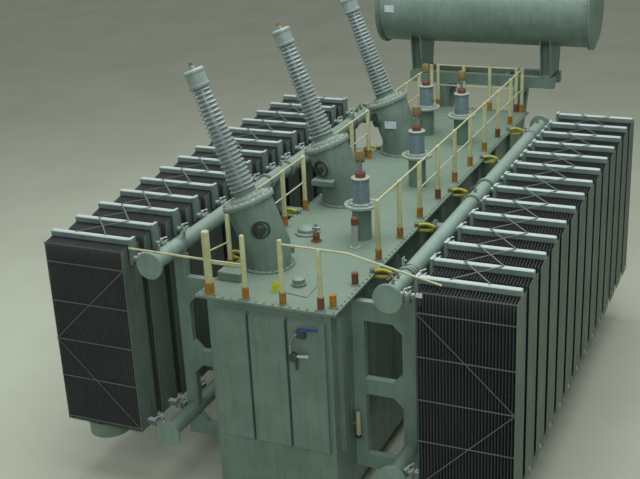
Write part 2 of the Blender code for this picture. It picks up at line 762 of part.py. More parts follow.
def build_high_voltage():
    """Place three turrets and the bushings that lean out over the left bank."""
    first_turret = turret()
    smooth_round(first_turret)
    first_bushing = bushing()
    lean = (0.0, -TURRET_LEAN, 0.0)
    for index, y in enumerate(phase_places()):
        foot = Vector((TURRET_X, y, COVER_TOP))
        top = foot + lean_point(TURRET_RUN + TURRET_FLANGE_THICKNESS + SEAT)
        turret_name = "hv_turret_{}".format(index + 1)
        bushing_name = "hv_bushing_{}".format(index + 1)
        if index == 0:
            finish(first_turret, turret_name, "tank_paint", foot)
            finish(first_bushing, bushing_name, "porcelain", top, lean)
        else:
            copy_of(first_turret, turret_name, foot)
            copy_of(first_bushing, bushing_name, top, lean)


def build_low_voltage():
    """Place the short bushings on their pedestals."""
    body_top = LV_FOOT_THICKNESS + LV_BODY_HEIGHT
    cap_top = body_top + LV_CAP_HEIGHT
    pin_top = cap_top + LV_TERMINAL_HEIGHT
    rim_low = body_top - LV_RIM_THICKNESS
    profile = [
        (0.0, pin_top),
        (LV_TERMINAL_RADIUS, pin_top),
        (LV_TERMINAL_RADIUS, cap_top),
        (LV_CAP_RADIUS, cap_top),
        (LV_CAP_RADIUS, body_top),
        (LV_RIM_RADIUS, body_top),
        (LV_RIM_RADIUS, rim_low),
        (LV_BODY_RADIUS, rim_low),
        (LV_BODY_RADIUS, LV_FOOT_THICKNESS),
        (LV_FOOT_RADIUS, LV_FOOT_THICKNESS),
        (LV_FOOT_RADIUS, 0.0),
        (0.0, 0.0),
    ]
    first = turned("lv_bushing", profile, LV_SEGMENTS)
    smooth_round(first)
    level = COVER_TOP + PEDESTAL_HEIGHT + SEAT
    names = ["lv_bushing_{}".format(index + 1) for index in range(LV_COUNT)] + ["neutral_bushing"]
    for name, (x, y) in zip(names, lv_places()):
        if name == names[0]:
            finish(first, name, "porcelain", (x, y, level))
        else:
            copy_of(first, name, (x, y, level))


def conservator_drum():
    """Build the conservator's drum with rims and dished ends, lying along X."""
    half = CONSERVATOR_LENGTH / 2
    profile = [
        (0.0, half),
        (CONSERVATOR_RADIUS * DISH_RADIUS_SHARE, half - CONSERVATOR_DISH * DISH_DROP_SHARE),
        (CONSERVATOR_RADIUS, half - CONSERVATOR_DISH),
        (CONSERVATOR_RIM_RADIUS, half - CONSERVATOR_DISH),
        (CONSERVATOR_RIM_RADIUS, half - CONSERVATOR_DISH - CONSERVATOR_RIM_WIDTH),
        (CONSERVATOR_RADIUS, half - CONSERVATOR_DISH - CONSERVATOR_RIM_WIDTH),
    ]
    profile += [(radius, -height) for radius, height in reversed(profile)]
    item = turned("drum", profile, CONSERVATOR_SEGMENTS)
    item.rotation_euler = (0.0, math.pi / 2, 0.0)
    item.location = (CONSERVATOR_X, CONSERVATOR_Y, CONSERVATOR_LEVEL)
    return item


def saddle(x_centre):
    """Make one saddle that flares up to the drum."""
    top = CONSERVATOR_LEVEL - CONSERVATOR_RADIUS + SADDLE_SINK
    foot_low = CONSERVATOR_Y - SADDLE_FOOT_WIDTH / 2
    foot_high = CONSERVATOR_Y + SADDLE_FOOT_WIDTH / 2
    outline = ((foot_low, BEAM_TOP + SEAT), (foot_high, BEAM_TOP + SEAT),
               (CONSERVATOR_Y + SADDLE_TOP_WIDTH / 2, top), (CONSERVATOR_Y - SADDLE_TOP_WIDTH / 2, top))
    item = plate(outline, (), SADDLE_THICKNESS, "YZ")
    item.location.x += x_centre
    return item


def build_conservator():
    """Build the conservator on two saddles, the beams under it and the brackets on the end wall."""
    drum = combine("conservator", [conservator_drum(), saddle(-SADDLE_X), saddle(SADDLE_X)])
    finish(drum, "conservator", "tank_paint")
    smooth_round(drum, CONSERVATOR_SMOOTH_ANGLE)

    half = BEAM_LENGTH / 2
    low = BEAM_TOP - BEAM_HEIGHT
    pieces = []
    for side in (-1, 1):
        y = CONSERVATOR_Y + side * BEAM_SPREAD / 2
        pieces.append(box((-half, y - BEAM_WIDTH / 2, low), (half, y + BEAM_WIDTH / 2, BEAM_TOP)))
    spacing = (BEAM_LENGTH - TIE_WIDTH - 2 * TIE_INSET) / (TIE_COUNT - 1)
    for index in range(TIE_COUNT):
        x = -half + TIE_INSET + spacing * index
        pieces.append(box((x, CONSERVATOR_Y - BEAM_SPREAD / 2, low + TIE_INSET),
                          (x + TIE_WIDTH, CONSERVATOR_Y + BEAM_SPREAD / 2, BEAM_TOP - TIE_INSET)))
    finish(combine("beams", pieces), "conservator_beams", "tank_paint")

    wall = TANK_LENGTH / 2 + END_STIFFENER_DEPTH + SEAT
    post = TANK_LENGTH / 2 + COVER_END_OVERHANG + OVERRUN
    top = low - SEAT
    tip = CONSERVATOR_Y + (BEAM_SPREAD + BEAM_WIDTH) / 2
    arm = BRACKET_ARM_DEPTH
    step = COVER_TOP - COVER_THICKNESS - OVERRUN
    foot = STIFFENER_TOP - STIFFENER_SLOPE
    outline = ((wall, foot - BRACKET_FOOT_LENGTH), (wall, foot), (post, foot), (post, top), (tip, top),
               (tip, top - arm))
    opening = ((post + arm, step - arm), (post + arm, top - arm), (tip - arm, top - arm))
    first = plate(outline, (opening,), BRACKET_THICKNESS, "YZ")
    right = finish(first, "conservator_bracket_right", "tank_paint", (BRACKET_X, 0.0, 0.0))
    copy_of(right, "conservator_bracket_left", (-BRACKET_X, 0.0, 0.0))


def post(x, y, radius=POST_RADIUS, height=POST_HEIGHT):
    """Make one guard post that stands on the cover."""
    foot = COVER_TOP + SEAT
    return cylinder((x, y, foot), (x, y, foot + height), radius, POST_SIDES)


def rail(start, end):
    """Make a square rail between two points given as x, y and height over the cover."""
    start = Vector((start[0], start[1], COVER_TOP + start[2]))
    run = Vector((end[0], end[1], COVER_TOP + end[2])) - start
    place = (Matrix.Translation(start + run / 2) @ run.to_track_quat("X", "Z").to_matrix().to_4x4()
             @ Matrix.Diagonal((run.length, RAIL_SIZE, RAIL_SIZE, 1.0)))
    return mesh_object("rail", lambda form: bmesh.ops.create_cube(form, size=1.0, matrix=place))


def rail_pair(start, end):
    """Make the lower and the upper rail between two (x, y) places."""
    return [rail((*start, height), (*end, height)) for height in (LOWER_RAIL_HEIGHT, UPPER_RAIL_HEIGHT)]


def spaced(first, last, pitch):
    """Space posts evenly between two places on one row, about one pitch apart."""
    spaces = max(1, round((last - first) / pitch))
    return [first + (last - first) * index / spaces for index in range(spaces + 1)]


def left_sections(last):
    """List the stretches of the left row, up to its last post, that the turrets leave free."""
    clear = TURRET_FOOT_RADIUS + RAIL_TO_TURRET
    starts = [y + clear for y in phase_places()]
    ends = [y - clear for y in phase_places()[1:]] + [last - RAIL_TO_ROW]
    return list(zip(starts, ends))


def build_front_row(places, y, left):
    """Build what stands of the front row: two posts with a return, the others with a loose rail."""
    corner, second, *upright, last = places
    back = y + RETURN_LENGTH
    returned = [
        post(corner, y, CORNER_POST_RADIUS),
        post(second, y),
        post(left, back, POST_RADIUS, LOW_POST_HEIGHT),
        rail((corner, y, LOWER_RAIL_HEIGHT), (second, y, LOWER_RAIL_HEIGHT)),
        rail((corner, y, RETURN_RAIL_START), (left, back, RETURN_RAIL_END)),
    ]
    finish(combine("front", returned), "guard_rail_front", "rail_paint")
    start = [*upright, last][0]
    loose = [post(x, y) for x in upright] + [
        post(last, y, POST_RADIUS, LOW_POST_HEIGHT),
        rail((start, y, LOOSE_RAIL_HEIGHT), (last + LOOSE_RAIL_OVERHANG, y, LOOSE_RAIL_HEIGHT)),
    ]
    finish(combine("loose", loose), "guard_rail_front_right", "rail_paint")


def build_guard_rail():
    """Build the guard rail as straight rows that stop short of the turrets."""
    half_width = TANK_WIDTH / 2 + COVER_OVERHANG
    end_y = TANK_LENGTH / 2 + COVER_END_OVERHANG - END_ROW_INSET
    left = -half_width + LEFT_ROW_INSET
    right = half_width - RIGHT_ROW_INSET
    across = spaced(-half_width + END_ROW_LEFT_INSET, half_width - END_ROW_RIGHT_INSET, END_ROW_PITCH)
    build_front_row(across, -end_y, left)

    pieces = [post(x, end_y) for x in across] + rail_pair((across[0], end_y), (across[-1], end_y))
    finish(combine("rear", pieces), "guard_rail_rear", "rail_paint")

    along = spaced(RIGHT_ROW_START - end_y, end_y, POST_PITCH)
    pieces = [post(right, y) for y in along]
    pieces.append(rail((right, along[0], UPPER_RAIL_HEIGHT), (right, along[-1], UPPER_RAIL_HEIGHT)))
    pieces.append(rail((right, along[2], LOWER_RAIL_HEIGHT), (right, along[-1], LOWER_RAIL_HEIGHT)))
    finish(combine("right", pieces), "guard_rail_right", "rail_paint")

    for index, (first, last) in enumerate(left_sections(end_y)):
        pieces = [post(left, y) for y in spaced(first + LEFT_ROW_LEAD, last, POST_PITCH)]
        pieces += rail_pair((left, first), (left, last))
        name = "guard_rail_left_{}".format(index + 1)
        finish(combine(name, pieces), name, "rail_paint")


def front_reach():
    """Give the front face of the whole part, which is that of the banks."""
    return BANK_CENTRE_Y - RADIATOR_PITCH * (RADIATOR_COUNT - 1) / 2 - PANEL_WIDTH / 2


def rear_reach():
    """Give the rear face of the whole part, which is the conservator's rims."""
    return CONSERVATOR_Y + CONSERVATOR_RIM_RADIUS


clear_scene()
parts = bpy.data.collections.new(PART_NAME)
cutters = bpy.data.collections.new(PART_NAME + "_cutters")
bpy.context.scene.collection.children.link(parts)
bpy.context.scene.collection.children.link(cutters)
base_point = bpy.data.objects.new("base_point", None)
base_point.location.y = -(front_reach() + rear_reach()) / 2
parts.objects.link(base_point)
materials = make_materials()

build_skids()
build_tank()
build_cover()
build_radiators()
build_collectors()
build_frames()
build_fans()
build_high_voltage()
build_low_voltage()
build_conservator()
build_guard_rail()
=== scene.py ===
"""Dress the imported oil-filled power transformer and stand it on a plain studio floor.

Metres, +Z up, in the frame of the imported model: X runs across the tank and Y along it. The right bank's
pieces are drawn once, and a half turn about the middle of the banks carries them to the left.
"""
from __future__ import annotations

import logging
import math
from dataclasses import dataclass
from enum import Enum
from typing import Any, Iterable, Mapping, Sequence

import bmesh
import bpy
from mathutils import Matrix, Vector


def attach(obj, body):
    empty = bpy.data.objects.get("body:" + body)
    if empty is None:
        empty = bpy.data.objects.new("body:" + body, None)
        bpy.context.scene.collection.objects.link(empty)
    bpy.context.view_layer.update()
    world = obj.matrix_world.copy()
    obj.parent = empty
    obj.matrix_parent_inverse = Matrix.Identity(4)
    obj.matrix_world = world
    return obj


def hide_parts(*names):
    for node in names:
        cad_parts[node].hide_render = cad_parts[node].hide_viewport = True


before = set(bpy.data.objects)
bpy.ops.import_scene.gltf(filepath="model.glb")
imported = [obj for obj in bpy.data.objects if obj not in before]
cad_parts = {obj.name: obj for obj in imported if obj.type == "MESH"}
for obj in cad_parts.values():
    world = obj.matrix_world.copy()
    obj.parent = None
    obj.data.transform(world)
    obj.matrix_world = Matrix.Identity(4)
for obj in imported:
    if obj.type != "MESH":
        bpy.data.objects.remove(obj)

LOG = logging.getLogger("transformer")
BANKS_CENTRE_Y = -1.645
COVER_TOP = 3.632
# How far a piece stays clear of the one that carries it
REST_GAP = 0.0003
HEADER_LEVEL = 4.25
LOWER_HEADER_LEVEL = 1.14
COLLECTOR_X = 1.90
UPPER_COLLECTOR_LEVEL = 3.974
LOWER_COLLECTOR_LEVEL = 1.073
TANK_WALL_X = 1.0 + REST_GAP
POST_RADIUS = 0.038
PHASE_X = -0.60
PEDESTAL_TOP = 4.232
CONSERVATOR_CENTRE = (0.05, 5.33, 5.79)
# Each long bushing's place along the cover, and which way its hand hole turns, in degrees
PHASES = ((-4.695, 35), (BANKS_CENTRE_Y, -12), (1.405, -46))
# Each short bushing's node, and its place on the cover
SHORT_BUSHINGS = (("lv_bushing_1", 0.40, -3.22), ("lv_bushing_2", 0.40, -0.48),
                  ("lv_bushing_3", 0.40, 2.26), ("neutral_bushing", -0.50, 2.705))
SHARP_ANGLE = math.radians(35)
X_AXIS, Y_AXIS, Z_AXIS = (1.0, 0.0, 0.0), (0.0, 1.0, 0.0), (0.0, 0.0, 1.0)

Point = Sequence[float]
Profile = Sequence[tuple[float, float]]


class Side(Enum):
    """Which side of the tank a piece is on."""

    LEFT = "left"
    RIGHT = "right"

    def turn(self) -> Matrix:
        """Give the half turn that carries a right-hand piece to this side."""
        if self is Side.RIGHT:
            return Matrix.Identity(4)
        centre = at(0.0, BANKS_CENTRE_Y, 0.0)
        return centre @ Matrix.Rotation(math.pi, 4, "Z") @ centre.inverted()


def at(x: float, y: float, z: float) -> Matrix:
    """Give the upright frame at a point."""
    return Matrix.Translation((x, y, z))


def up(height: float) -> Vector:
    """Give a rise straight up."""
    return Vector((0.0, 0.0, height))


def aim(start: Point, way: Point) -> Matrix:
    """Give the frame at start whose Z axis runs along way."""
    return Matrix.Translation(start) @ Vector(way).to_track_quat("Z", "Y").to_matrix().to_4x4()


def spokes(radius: float, count: int, offset: float = 0.0) -> list[Vector]:
    """Give count points round a circle in the XY plane; offset shifts them by a share of their pitch."""
    angles = [2 * math.pi * (index + offset) / count for index in range(count)]
    return [Vector((radius * math.cos(angle), radius * math.sin(angle), 0.0)) for angle in angles]


def rounded(points: Sequence[Point], radius: float, steps: int = 6) -> list[Vector]:
    """Round the corners of a path.

    Args:
        points: the path with sharp corners.
        radius: how far from a corner its bend starts.
        steps: how many stretches each bend has.

    Returns:
        The path with a curve at each corner.
    """
    path = [Vector(point) for point in points]
    made = [path[0]]
    for before, corner, after in zip(path, path[1:], path[2:]):
        first = corner + (before - corner).normalized() * radius
        last = corner + (after - corner).normalized() * radius
        for step in range(steps + 1):
            share = step / steps
            made.append(first.lerp(corner, share).lerp(corner.lerp(last, share), share))
    return made + [path[-1]]


def colour(code: str) -> tuple[float, float, float, float]:
    """Turn an sRGB hex value into linear light.

    Args:
        code: six hex digits after a hash.

    Returns:
        Red, green, blue and an alpha of one.
    """
    parts = [int(code[place:place + 2], 16) / 255 for place in (1, 3, 5)]
    red, green, blue = (part / 12.92 if part <= 0.04045 else ((part + 0.055) / 1.055) ** 2.4
                        for part in parts)
    return (red, green, blue, 1.0)


def add_node(tree: bpy.types.NodeTree, kind: str, inputs: Mapping[str | int, Any] | None = None,
             **settings: Any) -> bpy.types.Node:
    """Add a node to a tree.

    Args:
        tree: the shader or geometry tree.
        kind: the node's type.
        inputs: an output socket to link, or a value to set, for each input by name or number.
        settings: properties of the node itself.

    Returns:
        The new node.
    """
    node = tree.nodes.new(kind)
    for key, value in settings.items():
        setattr(node, key, value)
    for key, value in (inputs or {}).items():
        if isinstance(value, bpy.types.NodeSocket):
            tree.links.new(value, node.inputs[key])
        else:
            node.inputs[key].default_value = value
    return node


class Skin:
    """The surface of one material in the making; its textures read the piece's own coordinates."""

    def __init__(self, tree: bpy.types.NodeTree) -> None:
        """Start from the plain shader of a new material."""
        self.tree = tree
        self.shader = tree.nodes["Principled BSDF"]
        self.place = add_node(tree, "ShaderNodeTexCoord").outputs["Object"]

    def show(self, name: str, value: Any) -> None:
        """Link a socket to an input of the shader, or set the input's value."""
        if isinstance(value, bpy.types.NodeSocket):
            self.tree.links.new(value, self.shader.inputs[name])
        else:
            self.shader.inputs[name].default_value = value

    def noise(self, size: float, detail: float, roughness: float = 0.5,
              stretch: Point = (1.0, 1.0, 1.0)) -> bpy.types.NodeSocket:
        """Give clouds about size across; a smaller stretch value draws them out along its axis."""
        drawn = add_node(self.tree, "ShaderNodeMapping", {"Vector": self.place, "Scale": stretch})
        clouds = add_node(self.tree, "ShaderNodeTexNoise",
                          {"Vector": drawn.outputs["Vector"], "Scale": 1 / size, "Detail": detail,
                           "Roughness": roughness})
        return clouds.outputs["Fac"]

    def span(self, value: bpy.types.NodeSocket, low: float, high: float, start: float = 0.0,
             end: float = 1.0) -> bpy.types.NodeSocket:
        """Stretch what lies between low and high to run from start to end."""
        return add_node(self.tree, "ShaderNodeMapRange",
                        {"Value": value, "From Min": low, "From Max": high, "To Min": start,
                         "To Max": end}).outputs["Result"]

    def upward(self, low: float, high: float, most: float) -> bpy.types.NodeSocket:
        """Give a share that grows to most as the surface turns from low to high towards the sky."""
        normal = add_node(self.tree, "ShaderNodeNewGeometry").outputs["Normal"]
        parts = add_node(self.tree, "ShaderNodeSeparateXYZ", {0: normal})
        return self.span(parts.outputs["Z"], low, high, end=most)

    def mix(self, share: bpy.types.NodeSocket, low: Any, high: Any) -> bpy.types.NodeSocket:
        """Blend two tones, each a hex code or a socket, by share."""
        first, second = (colour(tone) if isinstance(tone, str) else tone for tone in (low, high))
        return add_node(self.tree, "ShaderNodeMix", {0: share, 6: first, 7: second},
                        data_type="RGBA").outputs[2]

    def bump(self, height: bpy.types.NodeSocket, strength: float, distance: float,
             **under: bpy.types.NodeSocket) -> bpy.types.NodeSocket:
        """Raise the surface by a height, over the relief named Normal if one is given."""
        return add_node(self.tree, "ShaderNodeBump",
                        {"Height": height, "Strength": strength, "Distance": distance,
                         **under}).outputs["Normal"]


@dataclass(frozen=True)
class Finish:
    """What every finish has: the real material's name and main colour, and nodes for its surface."""

    name: str
    base: str

    def dress(self, skin: Skin) -> None:
        """Add the nodes of the surface; each kind of finish has its own."""
        raise NotImplementedError

    def material(self) -> bpy.types.Material:
        """Return the material, which is made the first time it is asked for."""
        made = bpy.data.materials.get(self.name)
        if made is None:
            made = bpy.data.materials.new(self.name)
            made.use_nodes = True
            self.dress(Skin(made.node_tree))
        return made


@dataclass(frozen=True)
class SprayedEnamel(Finish):
    """Alkyd enamel sprayed on welded steel: half gloss, with faded patches, dirty runs and a tone on top,
    which is dust and on the headers and inner panels also painted highlight and painted shade.
    """

    faded: str
    grime: str
    top_tone: str
    roughness: float = 0.42
    patch: float = 0.55
    grime_share: float = 0.35
    top_share: float = 0.45
    peel: float = 0.015
    sheet_wave: float = 0.45
    run_size: float = 0.625
    run_stretch: tuple[float, float, float] = (7.0, 7.0, 0.55)

    def dress(self, skin: Skin) -> None:
        """Mix the faded patches, the runs down the walls and the top tone on level tops, which is dust and
        on the headers and inner panels also painted highlight and painted shade.
        """
        tone = skin.mix(skin.span(skin.noise(self.patch, 5.0, 0.62), 0.36, 0.64), self.base, self.faded)
        runs = skin.noise(self.run_size, 6.0, 0.7, self.run_stretch)
        dirty = skin.mix(skin.span(runs, 0.48, 0.72, end=self.grime_share), tone, self.grime)
        skin.show("Base Color", skin.mix(skin.upward(0.55, 0.98, self.top_share), dirty, self.top_tone))
        skin.show("Roughness", skin.span(runs, 0.3, 0.75, self.roughness - 0.08, self.roughness + 0.16))
        buckled = skin.bump(skin.noise(self.sheet_wave, 1.0), 0.35, 0.02)
        skin.show("Normal", skin.bump(skin.noise(self.peel, 2.0), 0.3, 0.001, Normal=buckled))
        skin.show("IOR", 1.5)


@dataclass(frozen=True)
class Glaze(Finish):
    """Fired porcelain under a glaze: glassy, a little darker where the glaze pools, dust on top."""

    pooled: str
    top_tone: str
    roughness: float = 0.16
    cloud: float = 0.12
    coat: float = 0.6

    def dress(self, skin: Skin) -> None:
        """Cloud the glaze softly and lay a thin dust on what faces up."""
        cloud = skin.noise(self.cloud, 3.0)
        tone = skin.mix(skin.span(cloud, 0.35, 0.68), self.base, self.pooled)
        skin.show("Base Color", skin.mix(skin.upward(0.35, 0.95, 0.5), tone, self.top_tone))
        skin.show("Roughness", skin.span(cloud, 0.3, 0.7, self.roughness, self.roughness + 0.14))
        skin.show("Normal", skin.bump(cloud, 0.2, 0.002))
        skin.show("IOR", 1.52)
        skin.show("Coat Weight", self.coat)
        skin.show("Coat Roughness", 0.08)


@dataclass(frozen=True)
class BareMetal(Finish):
    """Uncoated or zinc-plated metal: dull spangle, with tarnish in patches."""

    tarnish: str
    roughness: float = 0.38
    spangle: float = 0.03

    def dress(self, skin: Skin) -> None:
        """Vary the tone and the roughness over the spangle."""
        grain = skin.noise(self.spangle, 4.0, 0.7)
        skin.show("Base Color", skin.mix(skin.span(grain, 0.38, 0.66), self.base, self.tarnish))
        skin.show("Roughness", skin.span(grain, 0.3, 0.7, self.roughness - 0.1, self.roughness + 0.14))
        skin.show("Metallic", 1.0)


@dataclass(frozen=True)
class DullPlastic(Finish):
    """Moulded rubber or taped plastic: matt, with a rubbed, slightly blotchy skin."""

    rubbed: str
    roughness: float = 0.6
    blotch: float = 0.05

    def dress(self, skin: Skin) -> None:
        """Mix the rubbed patches in and roughen the skin."""
        blotches = skin.noise(self.blotch, 4.0, 0.65)
        skin.show("Base Color", skin.mix(skin.span(blotches, 0.4, 0.68), self.base, self.rubbed))
        skin.show("Roughness", skin.span(blotches, 0.3, 0.7, self.roughness - 0.12, self.roughness + 0.12))
        skin.show("Normal", skin.bump(blotches, 0.25, 0.002))


@dataclass(frozen=True)
class BraidedStrap(Finish):
    """Stranded copper in a coloured sleeve: fine slanting ridges, grubby between them."""

    grubby: str
    lay: float = 0.012

    def dress(self, skin: Skin) -> None:
        """Draw the lay of the strands as slanting bands."""
        strands = add_node(skin.tree, "ShaderNodeTexWave",
                           {"Vector": skin.place, "Scale": 0.5 / self.lay, "Distortion": 1.5,
                            "Detail": 2.0}, bands_direction="DIAGONAL").outputs["Fac"]
        skin.show("Base Color", skin.mix(strands, self.grubby, self.base))
        skin.show("Normal", skin.bump(strands, 0.4, 0.002))
        skin.show("Roughness", 0.55)


# Alkyd enamel over shot-blasted steel: the tank, turrets, fans and frames carry it
TANK_ENAMEL = SprayedEnamel("tank_enamel", "#5F7569", "#6C8278", "#3D4A42", "#8B9C8F")
# Walked on, the cover has lost its gloss and its dust is trodden in
COVER_ENAMEL = SprayedEnamel("cover_enamel", "#5F7467", "#6B8174", "#3D4A41", "#7E917F", roughness=0.5)
# A paler copy of the tank enamel as painted light: the collectors and the plates that carry them are drawn
# brighter, as the overhead light shows them
COLLECTOR_PAINTED_LIGHT_ENAMEL = SprayedEnamel("collector_painted_light_enamel", "#6C8479", "#799287", "#45534B", "#91A498")
# The same enamel on the panels, thinner and darker, flat on the pressed sheet
RADIATOR_ENAMEL = SprayedEnamel("radiator_enamel", "#55635A", "#5E6D63", "#333C36", "#83938D",
                                roughness=0.5, patch=0.8, grime_share=0.4)
# Painted shade: a darker, greyer copy of the radiator enamel, with dark tops, for the plain panels deep in
# the bank, so the comb reads as one shade
PAINTED_SHADE_RADIATOR_ENAMEL = SprayedEnamel("painted_shade_radiator_enamel", "#4B4F50", "#515657", "#35393A", "#75827F",
                              roughness=0.55, patch=0.8, grime_share=0.4)
# The drawn flats that tie the panels have dulled more than the headers
TIE_ENAMEL = SprayedEnamel("tie_enamel", "#4F5A54", "#5A655F", "#363E39", "#66706A", roughness=0.55)
# Headers: real dust on their tops, made near white and spread over most of each top as a painted highlight
# of the overhead light, so they read as pale strips
HEADER_ENAMEL = SprayedEnamel("header_enamel", "#637872", "#71857F", "#3F4C48", "#BAC8C6",
                              roughness=0.36, top_share=0.85)
# Thick brushed chassis paint, scuffed and soiled near the ground
SKID_ENAMEL = SprayedEnamel("skid_enamel", "#4E5850", "#5B655B", "#2F332D", "#77786A",
                            roughness=0.58, grime_share=0.6)
# Cream enamel on the guard posts and the drawn bars
CREAM_ENAMEL = SprayedEnamel("cream_enamel", "#A2A87C", "#B2B890", "#6B6745", "#C1C0A4",
                             roughness=0.45, patch=0.2, grime_share=0.45, peel=0.01)
# Fresh pale enamel on the flanges of the short bushings
FLANGE_ENAMEL = SprayedEnamel("flange_enamel", "#86978C", "#94A499", "#58645B", "#A3B0A4", patch=0.25,
                              grime_share=0.25)
# Enamel on the caps of the long bushings, paler than the tank
CAP_ENAMEL = SprayedEnamel("cap_enamel", "#7C8F88", "#8B9C95", "#4A564F", "#A7B4AC", patch=0.2)
# Grey-blue glaze fired on electrical porcelain
PORCELAIN_GLAZE = Glaze("porcelain_glaze", "#728483", "#617372", "#A4B2AF")
# A smoother, bluer glaze on the short bushings
DARK_GLAZE = Glaze("smooth_porcelain_glaze", "#5A7276", "#51676B", "#7F9092", roughness=0.5, coat=0.1)
# Zinc-plated bolts and washers
ZINC = BareMetal("zinc_plated_steel", "#A9AFAA", "#7E857F")
# Sand-cast aluminium of valve bodies and fan blades
CAST_ALUMINIUM = BareMetal("cast_aluminium", "#B4B9B8", "#8F9694", roughness=0.46, spangle=0.015)
# Tarnished brass at the terminals
BRASS = BareMetal("tarnished_brass", "#A98B52", "#6E5A38", roughness=0.4)
# Varnished cloth tape wrapped over the terminals of the short bushings
VARNISHED_CLOTH = DullPlastic("varnished_cloth_tape", "#7B7043", "#5F5535", roughness=0.5)
# Blue plastic grip of the front valve's lever
BLUE_GRIP = DullPlastic("blue_plastic_grip", "#2B4A9A", "#223A78", roughness=0.45)
# Orange-brown paint and tape on the post sockets
SOCKET_ORANGE = DullPlastic("orange_socket_tape", "#9C701E", "#74511E", roughness=0.52)
# Yellow chromate primer on a socket that has lost its post
SOCKET_YELLOW = DullPlastic("yellow_primer", "#A37A22", "#86601C", roughness=0.55)
# Red oxide primer on the older sockets and the small terminals
SOCKET_RED = DullPlastic("red_oxide_primer", "#724130", "#573528")
# Black rubber and bitumen on covers and dials
BLACK_RUBBER = DullPlastic("black_rubber", "#1C1E22", "#2C2F33", roughness=0.5)
# Dark oil-stained steel of the hand-hole covers
DARK_STEEL = DullPlastic("oiled_dark_steel", "#2B3432", "#394541", roughness=0.42, blotch=0.08)
# Bright yellow card of the bare tag by the posts
TAG_YELLOW = DullPlastic("yellow_card", "#B9C832", "#98A42C", roughness=0.6)
# Off-white plastic of the small valve marks
MARK_WHITE = DullPlastic("white_valve_mark", "#C3CCD0", "#A4AFB4", roughness=0.45)
# Smooth concrete of the studio floor
PALE_FLOOR = DullPlastic("pale_floor", "#B9C0AF", "#B2B9A8", roughness=0.75, blotch=3.0)
# Yellow sleeve on the earthing straps
YELLOW_STRAP = BraidedStrap("yellow_earth_strap", "#C4C03A", "#7D7A24")


